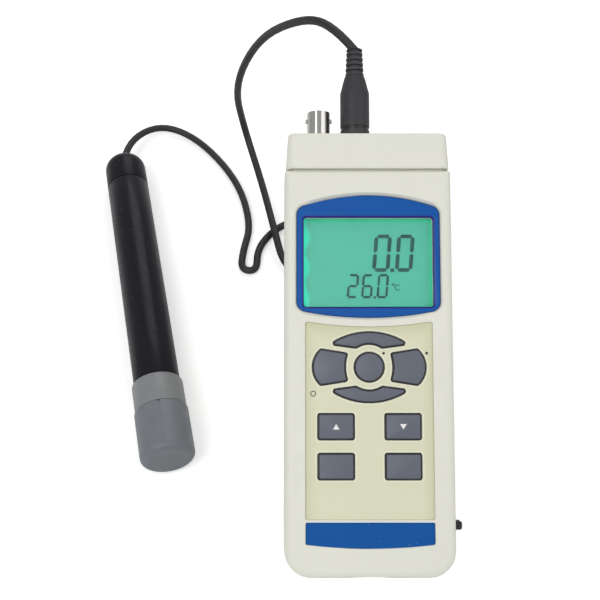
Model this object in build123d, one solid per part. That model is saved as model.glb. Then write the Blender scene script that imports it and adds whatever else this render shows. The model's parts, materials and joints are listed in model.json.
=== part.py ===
from build123d import *

import os
from math import asin, atan2, cos, degrees, pi, radians, sin, sqrt, tan

# Handheld water quality data logger with its dissolved oxygen probe, in millimetres.
# The meter is modelled flat: X to its right, Y from its bottom end to its sockets, Z out of its face.
# It is then tilted about X onto its stand. The probe is modelled along Y from its cap, and laid down.

# Meter housing
METER_WIDTH = 68.0
METER_LENGTH = 177.0
METER_DEPTH = 45.0
FRONT_DEPTH = 23.0
PARTING_Z = METER_DEPTH - FRONT_DEPTH
CAP_LENGTH = 15.0
SEAM_Y = METER_LENGTH - CAP_LENGTH
WALL = 2.2
FACE_WALL = 3.2
FACE_DRAFT = 1.5
FRONT_EDGE_R = 3.0
BACK_EDGE_R = 5.0
CORNER_R = 11.0
SEAM_CORNER_R = 1.5
FIT_GAP = 0.2

# Top end cap, narrower towards the sockets
CAP_SIDE_STEP = 0.9
CAP_FACE_STEP = 0.3
CAP_WIDTH = METER_WIDTH - 2 * CAP_SIDE_STEP
CAP_DEPTH = METER_DEPTH - 2 * CAP_FACE_STEP
CAP_CORNER_R = 4.0
CAP_DRAFT = 3.6
CAP_EDGE_R = 1.6
CAP_SPIGOT = 3.0
CAP_SPIGOT_WALL = 1.6
SEAM_CHAMFER = 0.6
SEAM_GAP = 0.1

# Display window: domed above, bowed below
BEZEL_HALF_WIDTH = 28.6
BEZEL_SHOULDER_Y = 145.8
BEZEL_TOP_Y = 151.0
BEZEL_FOOT_Y = 104.9
BEZEL_BOTTOM_Y = 101.8
BEZEL_CORNER_R = 4.0
BEZEL_THICK = 1.8
BEZEL_SINK = 3.0
BEZEL_SEAT_Z = METER_DEPTH - BEZEL_SINK
BEZEL_CHAMFER = 0.8
WINDOW_LIP = 1.0
VIEW_WIDTH = 51.6
VIEW_HEIGHT = 35.8
VIEW_Y = 124.1
VIEW_CORNER_R = 1.0
LENS_THICK = 1.0
LENS_BORDER = 1.6
DISPLAY_FRAME_DEPTH = 2.2
DISPLAY_FRAME_Z = BEZEL_SEAT_Z - DISPLAY_FRAME_DEPTH
DISPLAY_FRAME_BORDER = 4.6

# Display stack on the circuit board
GLASS_WIDTH = 58.0
GLASS_HEIGHT = 43.0
GLASS_THICK = 1.8
LIGHT_THICK = 2.5
LIGHT_BORDER = 1.6
HOLDER_WALL = 1.8
ZEBRA_DEPTH = 1.4
STACK_GAP = 0.1

# Keypad and the strip under it
PAD_HALF_WIDTH = 25.1
PAD_TOP_Y = 100.1
PAD_TOP_SAG = 2.1
PAD_BOTTOM_Y = 23.0
PAD_CORNER_R = 0.8
PAD_RECESS = 1.2
PLATE_THICK = 0.5
STRIP_TOP_Y = 21.9
STRIP_SIDE_Y = 13.5
STRIP_BOTTOM_Y = 12.0

# Keys
KEY_CENTRE_Y = 82.1
KEY_CENTRE_R = 5.9
KEY_RISE = 0.9
KEY_TRAVEL = 0.8
KEY_GAP = 0.2
KEY_PLATE_GAP = 0.35
KEY_FLANGE = 0.6
KEY_FLANGE_THICK = 1.3
KEY_SEAT_GAP = 0.3
KEY_EDGE_R = 0.4
KEY_CORNER_R = 0.7
KEY_BOW_TIP_X = 15.8
KEY_BOW_TIP_RISE = 8.9
KEY_BOW_APEX_RISE = 13.95
KEY_RING_R = 9.05
KEY_NOTCH_X = 5.1
SIDE_KEY_OUTER_X = 22.4
SIDE_KEY_CORNER_X = 19.1
SIDE_KEY_CORNER_RISE = 7.2
SIDE_KEY_INNER_X = 8.4
SIDE_KEY_INNER_RISE = 5.5
SIDE_KEY_WAIST_X = 9.4
SQUARE_KEY_X = 13.15
SQUARE_KEY_WIDTH = 14.2
SQUARE_KEY_HEIGHT = 10.2
UPPER_ROW_Y = 58.8
LOWER_ROW_Y = 43.35
PLUNGER_R = 2.0
MAT_THICK = 0.8
MAT_DOME = 0.2
MAT_DOME_R = 2.8
PRESS_MARGIN = 0.2

# Circuit board
BOARD_SINK = 11.6
BOARD_Z = METER_DEPTH - BOARD_SINK
BOARD_THICK = 1.6
BOARD_HALF_WIDTH = 28.6
BOARD_START_Y = 3.4
BOARD_END_GAP = 4.0
BOARD_END_Y = SEAM_Y - BOARD_END_GAP
BOARD_SCREWS = [(-26.0, 14.0), (26.0, 14.0), (-26.0, 98.2), (26.0, 98.2)]
BOARD_SCREW_R = 1.0
BOARD_SCREW_REACH = 4.0
BOARD_SCREW_HEAD = 1.0
STANDOFF_R = 2.3
CHIPS = [
    (-12.0, 84.0, 14.0, 14.0, 1.6),
    (10.0, 84.0, 8.0, 6.0, 1.5),
    (-14.0, 112.0, 10.0, 6.0, 1.5),
    (4.0, 112.0, 5.0, 11.0, 3.4),
    (-10.0, 134.0, 18.0, 8.0, 2.0),
]
CAPACITORS = [(-2.0, 146.0), (6.0, 146.0)]
CAPACITOR_R = 2.5
CAPACITOR_HEIGHT = 7.0
BUZZER_PLACE = (16.0, 128.0)
BUZZER_R = 6.0
BUZZER_HEIGHT = 5.5

# Screws that close the housing
CASE_SCREW_LOW_Y = 65.5
CASE_SCREW_TOP_GAP = 9.5
CASE_SCREW_TOP_Y = SEAM_Y - CASE_SCREW_TOP_GAP
CASE_SCREWS = [
    (-26.0, CASE_SCREW_LOW_Y),
    (26.0, CASE_SCREW_LOW_Y),
    (-26.5, CASE_SCREW_TOP_Y),
    (26.5, CASE_SCREW_TOP_Y),
]
CASE_SCREW_R = 1.4
CASE_SCREW_HEAD_R = 2.6
CASE_SCREW_HEAD = 1.9
CASE_SCREW_SINK = 3.0
CASE_SCREW_BITE = 4.9
BOSS_R = 3.6
HEAD_GAP = 0.25

# Battery compartment, six AA cells in two layers
CELL_R = 7.1
CELL_LENGTH = 50.5
CELL_NUB_R = 2.7
CELL_NUB = 1.0
CELLS_PER_LAYER = 3
CELL_GAP = 0.2
CELL_START_Y = 13.4
TRAY_WALL = 1.2
TRAY_HALF_LENGTH = 27.2
HATCH_THICK = 1.8
HATCH_HALF_WIDTH = 26.8
HATCH_START_Y = 5.8
HATCH_END_Y = 59.6
HATCH_CORNER_R = 3.0
HATCH_LEDGE = 1.4
HATCH_SCREWS = [(-20.0, 9.4), (20.0, 9.4)]
HATCH_SCREW_R = 1.2
HATCH_SCREW_HEAD_R = 2.2
HATCH_SCREW_HEAD = 1.0
HATCH_SCREW_LENGTH = 8.0
HATCH_BOSS_R = 2.3
CONTACT_THICK = 0.4
CONTACT_HALF_WIDTH = 5.0
SPRING_BASE_R = 3.6
SPRING_TIP_R = 2.4
HATCH_GRIPS = 5
HATCH_GRIP_START_Y = 44.0
HATCH_GRIP_PITCH = 2.6
HATCH_GRIP_WIDTH = 1.2
HATCH_GRIP_HALF_LENGTH = 12.0

# Tilt stand
TILT = 30.0
STAND_PIVOT_Y = 137.0
STAND_HALF_WIDTH = 20.0
STAND_THICK = 3.0
STAND_REACH = 68.5
STAND_RECESS = 3.7
STAND_PIN_R = 1.2
STAND_PIN_LENGTH = 1.9
STAND_PIN_GAP = 0.05
STAND_SIDE_GAP = 0.3
STAND_WINDOW_WIDTH = 22.0
STAND_WINDOW_LENGTH = 36.0
STAND_WINDOW_CORNER_R = 4.0
STAND_STOP_GAP = 0.05
FOOT_PAD_R = 1.7
FOOT_PAD_LENGTH = 6.0
FOOT_PAD_WIDTH = 36.0
FOOT_TONGUE = 1.6

# Port cover on the right side, over the power and serial jacks
PORT_START_Y = 17.4
PORT_PIVOT_Y = 49.0
JACK_RISE = 2.8
JACK_Z = BOARD_Z + BOARD_THICK + JACK_RISE
PORT_BELOW_JACK = 4.8
PORT_ABOVE_JACK = 3.4
PORT_LOW_Z = JACK_Z - PORT_BELOW_JACK
PORT_HIGH_Z = JACK_Z + PORT_ABOVE_JACK
PORT_COVER_THICK = 1.6
PORT_COVER_GAP = 0.25
PORT_PIN_R = 0.5
PORT_PIN_LENGTH = 0.8
PORT_PIN_GAP = 0.05
PORT_BACKING = 2.4
PULL_TAB_Y = 20.2
PULL_TAB_WIDTH = 3.3
PULL_TAB_RISE = 2.9
PULL_TAB_LENGTH = 5.2
JACK_HEIGHT = 5.6
JACK_DEPTH = 7.4
POWER_JACK_Y = 27.0
POWER_JACK_WIDTH = 9.0
POWER_JACK_R = 2.9
POWER_BORE_R = 2.6
POWER_PIN_R = 1.0
SERIAL_JACK_Y = 40.0
SERIAL_JACK_WIDTH = 8.0
SERIAL_JACK_R = 2.6
SERIAL_BORE_R = 1.8
JACK_NOSE_GAP = 0.15

# Memory card in the bottom end
CARD_WIDTH = 24.0
CARD_LENGTH = 32.0
CARD_THICK = 2.1
CARD_CORNER = 4.0
CARD_START_Y = 1.6
CARD_GAP = 0.25
CARD_SOCKET_WALL = 0.5
CARD_SOCKET_START_Y = 3.6
CARD_SOCKET_LENGTH = 27.0
SCOOP_R = 62.0
SCOOP_DEPTH = 1.2
SCOOP_HEIGHT = 12.0
SCOOP_LOW_Z = METER_DEPTH - SCOOP_HEIGHT

# Sockets in the top end
SOCKET_SINK = 20.0
SOCKET_Z = METER_DEPTH - SOCKET_SINK
COAX_X = -19.4
COAX_BARREL_R = 4.85
COAX_BORE_R = 4.1
COAX_LENGTH = 13.4
COAX_END_Y = METER_LENGTH + COAX_LENGTH
COAX_STEM_R = 4.4
COAX_LUG_R = 1.0
COAX_LUG_REACH = 5.6
COAX_LUG_SETBACK = 3.4
COAX_LUG_Y = COAX_END_Y - COAX_LUG_SETBACK
COAX_NUT_ACROSS = 12.0
COAX_NUT_THICK = 2.4
COAX_PIN_R = 1.0
COAX_DIELECTRIC_R = 2.4
COAX_DIELECTRIC_SETBACK = 3.0
PANEL_NUT_RIM = 1.2
PANEL_NUT_THICK = 2.0
ROUND_X = -4.0
ROUND_FLANGE_R = 7.6
ROUND_FLANGE = 2.3
ROUND_BODY_R = 6.4
ROUND_PIN_CIRCLE_R = 3.2
ROUND_PINS = 5
PIN_R = 0.6
PIN_GAP = 0.1
PIN_DEPTH = 6.0
TEMP_X = 14.0
TEMP_BUSH_R = 3.9
TEMP_BUSH_RISE = 1.6
TEMP_BORE_R = 1.8
TEMP_BORE_DEPTH = 13.0
SOCKET_DEPTH = 12.0
PANEL_GAP = 0.1

# Plug and strain relief
PLUG_SEAT_GAP = 0.2
PLUG_START_Y = METER_LENGTH + ROUND_FLANGE + PLUG_SEAT_GAP
PLUG_R = 6.2
PLUG_BODY_LENGTH = 19.7
PLUG_SHOULDER_Y = PLUG_START_Y + PLUG_BODY_LENGTH
PLUG_TAPER_LENGTH = 7.1
PLUG_NECK_Y = PLUG_SHOULDER_Y + PLUG_TAPER_LENGTH
PLUG_NECK_R = 4.25
PLUG_GROOVE_RISE = 3.1
PLUG_GROOVE_Y = PLUG_START_Y + PLUG_GROOVE_RISE
PLUG_GROOVE_WIDTH = 1.4
PLUG_GROOVE_DEPTH = 0.35
RELIEF_LENGTH = 12.1
RELIEF_END_Y = PLUG_NECK_Y + RELIEF_LENGTH
RELIEF_BASE_R = 3.95
RELIEF_TIP_R = 3.5
RELIEF_RIBS = 5
RELIEF_RIB_GAP = 0.9
RELIEF_RIB_DEPTH = 0.7

# Probe, measured along its axis from the closed end of its cap
PROBE_CAP_END = 25.0
PROBE_COLLAR_END = 40.0
PROBE_TUBE_END = 168.0
PROBE_DOME_LENGTH = 22.0
PROBE_LENGTH = PROBE_TUBE_END + PROBE_DOME_LENGTH
PROBE_SPIGOT = 8.0
PROBE_CAP_R = 12.4
PROBE_COLLAR_R = 11.9
PROBE_TUBE_R = 10.8
PROBE_WALL = 2.0
PROBE_CAP_WALL = 2.0
PROBE_CAP_EDGE_R = 3.0
PROBE_CAP_CHAMFER = 0.4
PROBE_SEAM = 0.3
PROBE_BODY_R = 8.2
PROBE_BODY_START = 9.0
PROBE_BODY_TAIL = 14.0
MEMBRANE_R = 7.4
MEMBRANE_START = 4.0
MEMBRANE_WALL = 1.2
MEMBRANE_OVERLAP = 6.0
O_RING_R = 0.9
O_RING_INSET = 5.0
O_RING_STATIONS = [PROBE_CAP_END - O_RING_INSET, PROBE_COLLAR_END + O_RING_INSET]
THERMISTOR_R = 1.6
THERMISTOR_OFFSET = 4.4
THERMISTOR_REACH = 2.2
THERMISTOR_LENGTH = 17.2
PROBE_CAP_FIT = 0.05
COLLAR_FIT = 0.1
CAP_NOTCH = 1.6
PROBE_CAP_TRAVEL = 40.0

# Probe lead
LEAD_D = 3.8
COIL_MEAN_R = 24.0
COIL_WIDTH = 13.0
COIL_HEIGHT = 10.8
COIL_EDGE_R = 3.6
COIL_CENTRE = (2.0, 182.0)
TIE_THICK = 1.0
TIE_ARC = 12.0
TIE_ANGLE = 40.0

# Lie of the probe and of the lead on the table, before the origin is moved
PROBE_PLACE = (-85.7, 40.5)
PROBE_YAW = 12.09
PLUG_LEAD_POINTS = [
    (-13.0, 187.5, 133.5),
    (-25.7, 201.2, 127.0),
    (-47.1, 221.5, 100.0),
    (-61.7, 232.5, 60.0),
    (-58.7, 242.9, 20.0),
    (-48.4, 212.0, 8.0),
    (-40.9, 178.8, 6.7),
    (-36.0, 158.0, 3.6),
    (-25.0, 151.0, 2.2),
    (-11.5, 157.5, 3.8),
]
PROBE_LEAD_POINTS = [
    (-125.5, 243.1, 9.0),
    (-108.8, 261.0, 5.0),
    (-86.1, 252.0, 1.9),
    (-62.4, 219.4, 1.9),
    (-53.7, 187.0, 1.9),
    (-57.6, 168.0, 1.9),
    (-58.2, 155.8, 1.9),
    (-49.8, 155.0, 1.9),
    (-50.0, 169.0, 1.9),
    (-43.5, 180.6, 1.9),
    (-33.5, 188.4, 2.3),
    (-26.0, 193.0, 3.6),
]

OUTPUT = "parts"

# Heights worked out from the driving dimensions
FACE_INNER_Z = METER_DEPTH - FACE_WALL
PAD_FLOOR_Z = METER_DEPTH - PAD_RECESS
PLATE_TOP_Z = PAD_FLOOR_Z + PLATE_THICK
KEY_TOP_Z = PLATE_TOP_Z + KEY_RISE
KEY_FLANGE_TOP_Z = FACE_INNER_Z - KEY_SEAT_GAP
KEY_FLANGE_LOW_Z = KEY_FLANGE_TOP_Z - KEY_FLANGE_THICK
BOARD_TOP_Z = BOARD_Z + BOARD_THICK
MAT_TOP_Z = BOARD_TOP_Z + MAT_THICK + MAT_DOME
PLUNGER_LOW_Z = MAT_TOP_Z + KEY_TRAVEL + PRESS_MARGIN
CELL_LAYERS = int((BOARD_Z - HATCH_THICK - TRAY_WALL - 2 * CELL_GAP) / (2 * CELL_R))
TRAY_LENGTH = CELLS_PER_LAYER * (2 * CELL_R + CELL_GAP)
TRAY_START_Y = CELL_START_Y - CELL_GAP
TRAY_END_Y = TRAY_START_Y + TRAY_LENGTH + CELL_GAP
CELL_LOW_Z = HATCH_THICK + CELL_GAP
TRAY_TOP_Z = CELL_LOW_Z + CELL_LAYERS * 2 * CELL_R + CELL_GAP
STAND_PIVOT_Z = FIT_GAP + STAND_THICK / 2
HALF_WIDTH = METER_WIDTH / 2
CASE_SCREW_LENGTH = PARTING_Z - CASE_SCREW_SINK - CASE_SCREW_HEAD + CASE_SCREW_BITE

# The meter's lower back edge lies on the table, and the stand opens until its foot does
TABLE_DROP = BACK_EDGE_R * (1 - sin(radians(TILT)) - cos(radians(TILT)))
PIVOT_HEIGHT = STAND_PIVOT_Y * sin(radians(TILT)) + STAND_PIVOT_Z * cos(radians(TILT)) + TABLE_DROP
STAND_OPEN = 180.0 - TILT - degrees(asin((PIVOT_HEIGHT - FOOT_PAD_R) / STAND_REACH))


def prism(sketch, low, high, taper=0.0):
    """Extrude a sketch drawn in XY from one height to another."""
    return Pos(0, 0, low) * extrude(sketch, high - low, taper=taper)


def block(x_low, x_high, y_low, y_high, z_low, z_high):
    """Box between two corners."""
    size = Box(x_high - x_low, y_high - y_low, z_high - z_low)
    return Pos((x_low + x_high) / 2, (y_low + y_high) / 2, (z_low + z_high) / 2) * size


def post(x, y, radius, low, high):
    """Upright cylinder between two heights."""
    return Pos(x, y, (low + high) / 2) * Cylinder(radius, high - low)


def along_y(x, z, radius, start, end):
    """Cylinder along Y between two stations."""
    return Pos(x, (start + end) / 2, z) * Rot(X=90) * Cylinder(radius, end - start)


def along_x(y, z, radius, start, end):
    """Cylinder along X between two stations."""
    return Pos((start + end) / 2, y, z) * Rot(Y=90) * Cylinder(radius, end - start)


def together(pieces):
    """Fuse a list of overlapping solids, or group separate ones."""
    whole = pieces[0]
    for piece in pieces[1:]:
        whole = whole + piece
    return whole


def turned(profile_points):
    """Revolve a profile of (radius, station) points about Y."""
    return revolve(make_face(Polyline(*profile_points, close=True)), Axis.Y)


# Outlines drawn in the meter's face plane


def case_outline(inset=0.0, end=SEAM_Y):
    """Housing seen from the front: large round bottom corners, nearly square seam corners."""
    half = HALF_WIDTH - inset
    lower = (inset + end) / 2
    sheet = Pos(0, lower) * Rectangle(2 * half, end - inset)
    corners = sheet.vertices().group_by(Axis.Y)
    sheet = fillet(corners[0], CORNER_R - inset)
    return fillet(sheet.vertices().group_by(Axis.Y)[-1], SEAM_CORNER_R)


def window_outline(grow=0.0):
    """Bezel seen from the front, with a domed top and a bowed bottom."""
    left_top = (-BEZEL_HALF_WIDTH, BEZEL_SHOULDER_Y)
    right_top = (BEZEL_HALF_WIDTH, BEZEL_SHOULDER_Y)
    left_low = (-BEZEL_HALF_WIDTH, BEZEL_FOOT_Y)
    right_low = (BEZEL_HALF_WIDTH, BEZEL_FOOT_Y)
    edges = [
        ThreePointArc(left_top, (0, BEZEL_TOP_Y), right_top),
        Line(right_top, right_low),
        ThreePointArc(right_low, (0, BEZEL_BOTTOM_Y), left_low),
        Line(left_low, left_top),
    ]
    sheet = make_face(edges)
    sheet = fillet(sheet.vertices(), BEZEL_CORNER_R)
    return offset(sheet, grow) if grow else sheet


def view_outline(grow=0.0):
    """Rounded rectangle of the visible display."""
    return Pos(0, VIEW_Y) * RectangleRounded(VIEW_WIDTH + 2 * grow, VIEW_HEIGHT + 2 * grow, VIEW_CORNER_R)


def pad_outline(grow=0.0):
    """Keypad field, whose top edge follows the bowed window above it."""
    half = PAD_HALF_WIDTH + grow
    top = PAD_TOP_Y + grow
    low = PAD_BOTTOM_Y - grow
    edges = [
        ThreePointArc((-half, top), (0, top - PAD_TOP_SAG), (half, top)),
        Line((half, top), (half, low)),
        Line((half, low), (-half, low)),
        Line((-half, low), (-half, top)),
    ]
    sheet = make_face(edges)
    return fillet(sheet.vertices(), PAD_CORNER_R)


def strip_outline(grow=0.0):
    """Blank coloured strip under the keypad, with a bowed lower edge."""
    half = PAD_HALF_WIDTH + grow
    top = STRIP_TOP_Y + grow
    side = STRIP_SIDE_Y - grow
    bottom = STRIP_BOTTOM_Y - grow
    edges = [
        Line((-half, top), (half, top)),
        Line((half, top), (half, side)),
        ThreePointArc((half, side), (0, bottom), (-half, side)),
        Line((-half, side), (-half, top)),
    ]
    sheet = make_face(edges)
    return fillet(sheet.vertices(), PAD_CORNER_R)


def bow_key(side):
    """Crescent key above (side 1) or below (side -1) the round key."""
    tip_y = KEY_CENTRE_Y + side * KEY_BOW_TIP_RISE
    apex_y = KEY_CENTRE_Y + side * KEY_BOW_APEX_RISE
    notch_rise = sqrt(KEY_RING_R**2 - KEY_NOTCH_X**2)
    notch_y = KEY_CENTRE_Y + side * notch_rise
    ring_y = KEY_CENTRE_Y + side * KEY_RING_R
    left, right = (-KEY_BOW_TIP_X, tip_y), (KEY_BOW_TIP_X, tip_y)
    edges = [
        ThreePointArc(left, (0, apex_y), right),
        Line(right, (KEY_NOTCH_X, notch_y)),
        ThreePointArc((KEY_NOTCH_X, notch_y), (0, ring_y), (-KEY_NOTCH_X, notch_y)),
        Line((-KEY_NOTCH_X, notch_y), left),
    ]
    sheet = make_face(edges)
    return fillet(sheet.vertices(), KEY_CORNER_R)


def side_key(side):
    """Barrel-shaped key to the right (side 1) or left (side -1) of the round key."""
    outer_top = (side * SIDE_KEY_CORNER_X, KEY_CENTRE_Y + SIDE_KEY_CORNER_RISE)
    outer_low = (side * SIDE_KEY_CORNER_X, KEY_CENTRE_Y - SIDE_KEY_CORNER_RISE)
    inner_top = (side * SIDE_KEY_INNER_X, KEY_CENTRE_Y + SIDE_KEY_INNER_RISE)
    inner_low = (side * SIDE_KEY_INNER_X, KEY_CENTRE_Y - SIDE_KEY_INNER_RISE)
    edges = [
        ThreePointArc(outer_top, (side * SIDE_KEY_OUTER_X, KEY_CENTRE_Y), outer_low),
        Line(outer_low, inner_low),
        ThreePointArc(inner_low, (side * SIDE_KEY_WAIST_X, KEY_CENTRE_Y), inner_top),
        Line(inner_top, outer_top),
    ]
    sheet = make_face(edges)
    return fillet(sheet.vertices(), KEY_CORNER_R)


def square_key(x, y):
    """Rounded rectangular key."""
    return Pos(x, y) * RectangleRounded(SQUARE_KEY_WIDTH, SQUARE_KEY_HEIGHT, KEY_CORNER_R)


BOW_MIDDLE = (KEY_RING_R + KEY_BOW_APEX_RISE) / 2
SIDE_MIDDLE = (SIDE_KEY_OUTER_X + SIDE_KEY_WAIST_X) / 2
KEYS = {
    "key_upper_bow": (bow_key(1), (0, KEY_CENTRE_Y + BOW_MIDDLE)),
    "key_lower_bow": (bow_key(-1), (0, KEY_CENTRE_Y - BOW_MIDDLE)),
    "key_left": (side_key(-1), (-SIDE_MIDDLE, KEY_CENTRE_Y)),
    "key_right": (side_key(1), (SIDE_MIDDLE, KEY_CENTRE_Y)),
    "key_centre": (Pos(0, KEY_CENTRE_Y) * Circle(KEY_CENTRE_R), (0, KEY_CENTRE_Y)),
    "key_arrow_up": (square_key(-SQUARE_KEY_X, UPPER_ROW_Y), (-SQUARE_KEY_X, UPPER_ROW_Y)),
    "key_arrow_down": (square_key(SQUARE_KEY_X, UPPER_ROW_Y), (SQUARE_KEY_X, UPPER_ROW_Y)),
    "key_lower_left": (square_key(-SQUARE_KEY_X, LOWER_ROW_Y), (-SQUARE_KEY_X, LOWER_ROW_Y)),
    "key_lower_right": (square_key(SQUARE_KEY_X, LOWER_ROW_Y), (SQUARE_KEY_X, LOWER_ROW_Y)),
}

# Housing


def side_x(z):
    """Outer side of the drafted front case at a height."""
    return HALF_WIDTH - (z - PARTING_Z) * tan(radians(FACE_DRAFT))


PORT_OUTER_X = side_x((PORT_LOW_Z + PORT_HIGH_Z) / 2)
PORT_PIVOT_X = PORT_OUTER_X - PORT_COVER_THICK / 2
PORT_FLOOR_X = PORT_OUTER_X - PORT_COVER_THICK - PORT_COVER_GAP
PORT_END_Y = PORT_PIVOT_Y + PORT_COVER_THICK / 2 + PORT_COVER_GAP
PORT_MIDDLE_Z = (PORT_LOW_Z + PORT_HIGH_Z) / 2
CARD_LOW_Z = BOARD_TOP_Z + CARD_SOCKET_WALL + CARD_GAP / 2


def front_case():
    """Front shell with window, keypad field, key holes, port pocket and card slot."""
    shell = prism(case_outline(), PARTING_Z, METER_DEPTH, FACE_DRAFT)
    rim = shell.faces().sort_by(Axis.Z)[-1].edges()
    rim = rim.filter_by(lambda edge: edge.center().Y < SEAM_Y - SEAM_CORNER_R)
    shell = fillet(rim, FRONT_EDGE_R)
    shell -= prism(case_outline(WALL, SEAM_Y + WALL), PARTING_Z, FACE_INNER_Z, FACE_DRAFT)

    frame = Pos(0, VIEW_Y) * Rectangle(
        VIEW_WIDTH + 2 * DISPLAY_FRAME_BORDER, VIEW_HEIGHT + 2 * DISPLAY_FRAME_BORDER
    )
    shell += prism(frame, DISPLAY_FRAME_Z, FACE_INNER_Z)
    shell += window_wall()
    for x, y in BOARD_SCREWS:
        shell += post(x, y, STANDOFF_R, BOARD_TOP_Z, FACE_INNER_Z)
        shell -= post(x, y, BOARD_SCREW_R, BOARD_TOP_Z, FACE_INNER_Z - FIT_GAP)
    for x, y in CASE_SCREWS:
        shell += post(x, y, BOSS_R, PARTING_Z + SEAM_GAP, FACE_INNER_Z)
        shell -= post(x, y, CASE_SCREW_R, PARTING_Z, FACE_INNER_Z - WALL)

    shell -= prism(window_outline(FIT_GAP), BEZEL_SEAT_Z, METER_DEPTH)
    lip = prism(window_outline(FIT_GAP), METER_DEPTH - WINDOW_LIP, METER_DEPTH, -45.0)
    shell -= lip
    shell -= prism(view_outline(FIT_GAP), DISPLAY_FRAME_Z, BEZEL_SEAT_Z)
    shell -= prism(pad_outline(FIT_GAP / 2), PAD_FLOOR_Z, METER_DEPTH)
    shell -= prism(strip_outline(FIT_GAP / 2), PAD_FLOOR_Z, METER_DEPTH)
    for sheet, _ in KEYS.values():
        shell -= prism(offset(sheet, KEY_GAP), FACE_INNER_Z, PAD_FLOOR_Z)

    shell += port_backing()
    shell -= port_pocket()
    shell -= card_slot()
    return shell - scoop()


def window_wall():
    """Thicker wall under the bezel's seat."""
    wall = window_outline(WALL)
    return prism(wall, BEZEL_SEAT_Z - WALL, FACE_INNER_Z)


def port_backing():
    """Thicker side wall behind the port cover."""
    return block(
        PORT_FLOOR_X - PORT_BACKING,
        PORT_FLOOR_X,
        PORT_START_Y - WALL,
        PORT_END_Y + WALL,
        BOARD_TOP_Z + FIT_GAP,
        PORT_HIGH_Z,
    )


def port_pocket():
    """Pocket, jack holes and hinge holes for the port cover."""
    pocket = block(PORT_FLOOR_X, HALF_WIDTH, PORT_START_Y, PORT_END_Y, PORT_LOW_Z, PORT_HIGH_Z)
    reach = PORT_PIN_LENGTH + PORT_COVER_GAP
    pin_hole = post(
        PORT_PIVOT_X, PORT_PIVOT_Y, PORT_PIN_R + PORT_PIN_GAP, PORT_LOW_Z - reach, PORT_HIGH_Z + reach
    )
    inner_x = PORT_FLOOR_X - PORT_BACKING - WALL
    power = along_x(POWER_JACK_Y, JACK_Z, POWER_JACK_R + JACK_NOSE_GAP, inner_x, PORT_FLOOR_X)
    serial = along_x(SERIAL_JACK_Y, JACK_Z, SERIAL_JACK_R + JACK_NOSE_GAP, inner_x, PORT_FLOOR_X)
    return pocket + pin_hole + power + serial


def card_slot():
    """Slot for the memory card through the bottom wall."""
    half = CARD_WIDTH / 2 + CARD_GAP
    low = CARD_LOW_Z - CARD_GAP
    high = CARD_LOW_Z + CARD_THICK + CARD_GAP
    return block(-half, half, -WALL, 2 * WALL, low, high)


def scoop():
    """Shallow finger hollow in the bottom edge, below the card slot."""
    centre_y = SCOOP_DEPTH - SCOOP_R
    return post(0, centre_y, SCOOP_R, SCOOP_LOW_Z, METER_DEPTH)


def rear_case():
    """Rear shell with the cell tray, the hatch opening, the stand's recess and the screw posts."""
    shell = prism(case_outline(), 0, PARTING_Z)
    rim = shell.faces().sort_by(Axis.Z)[0].edges()
    rim = rim.filter_by(lambda edge: edge.center().Y < SEAM_Y - SEAM_CORNER_R)
    shell = fillet(rim, BACK_EDGE_R)
    shell -= prism(case_outline(WALL, SEAM_Y + WALL), WALL, PARTING_Z)

    tray_x = TRAY_HALF_LENGTH + TRAY_WALL
    shell += block(
        -tray_x, tray_x, TRAY_START_Y - TRAY_WALL, TRAY_END_Y + TRAY_WALL, WALL, TRAY_TOP_Z + TRAY_WALL
    )
    ledge_z = HATCH_THICK + HATCH_LEDGE
    shell += block(-tray_x, tray_x, HATCH_START_Y - TRAY_WALL, HATCH_END_Y + TRAY_WALL, WALL, ledge_z)
    shell -= block(-TRAY_HALF_LENGTH, TRAY_HALF_LENGTH, TRAY_START_Y, TRAY_END_Y, ledge_z, TRAY_TOP_Z)
    mouth = CELL_LENGTH / 2 + 2 * CELL_GAP
    shell -= block(-mouth, mouth, TRAY_START_Y, TRAY_END_Y, 0, ledge_z)
    shell -= prism(hatch_outline(FIT_GAP), 0, HATCH_THICK)
    for x, y in HATCH_SCREWS:
        shell += post(x, y, HATCH_BOSS_R, ledge_z, HATCH_SCREW_LENGTH + 2 * WALL)
        shell -= post(x, y, HATCH_SCREW_R, HATCH_THICK, HATCH_SCREW_LENGTH + WALL)

    shell += stand_block()
    shell -= stand_recess()
    shell += stand_stop()
    for x, y in CASE_SCREWS:
        shell += post(x, y, BOSS_R, WALL / 2, PARTING_Z - SEAM_GAP)
        shell -= post(x, y, CASE_SCREW_HEAD_R + HEAD_GAP, 0, CASE_SCREW_SINK + CASE_SCREW_HEAD)
        shell -= post(x, y, CASE_SCREW_R, 0, PARTING_Z)
    return shell


def hatch_outline(grow=0.0):
    """Battery cover seen from behind."""
    width = 2 * (HATCH_HALF_WIDTH + grow)
    height = HATCH_END_Y - HATCH_START_Y + 2 * grow
    return Pos(0, (HATCH_START_Y + HATCH_END_Y) / 2) * RectangleRounded(width, height, HATCH_CORNER_R)


def recess_bounds():
    """Half width, lower end and upper end of the stand's recess."""
    half = STAND_HALF_WIDTH + STAND_SIDE_GAP
    low = STAND_PIVOT_Y - STAND_REACH - FOOT_PAD_R - FIT_GAP - STAND_SIDE_GAP
    high = STAND_PIVOT_Y + STAND_THICK / 2 + FIT_GAP
    return half, low, high


def stand_block():
    """Material inside the back wall that the stand's recess is cut into."""
    half, low, high = recess_bounds()
    return block(-half - WALL, half + WALL, low - WALL, high + WALL, WALL / 2, STAND_RECESS + WALL)


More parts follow.
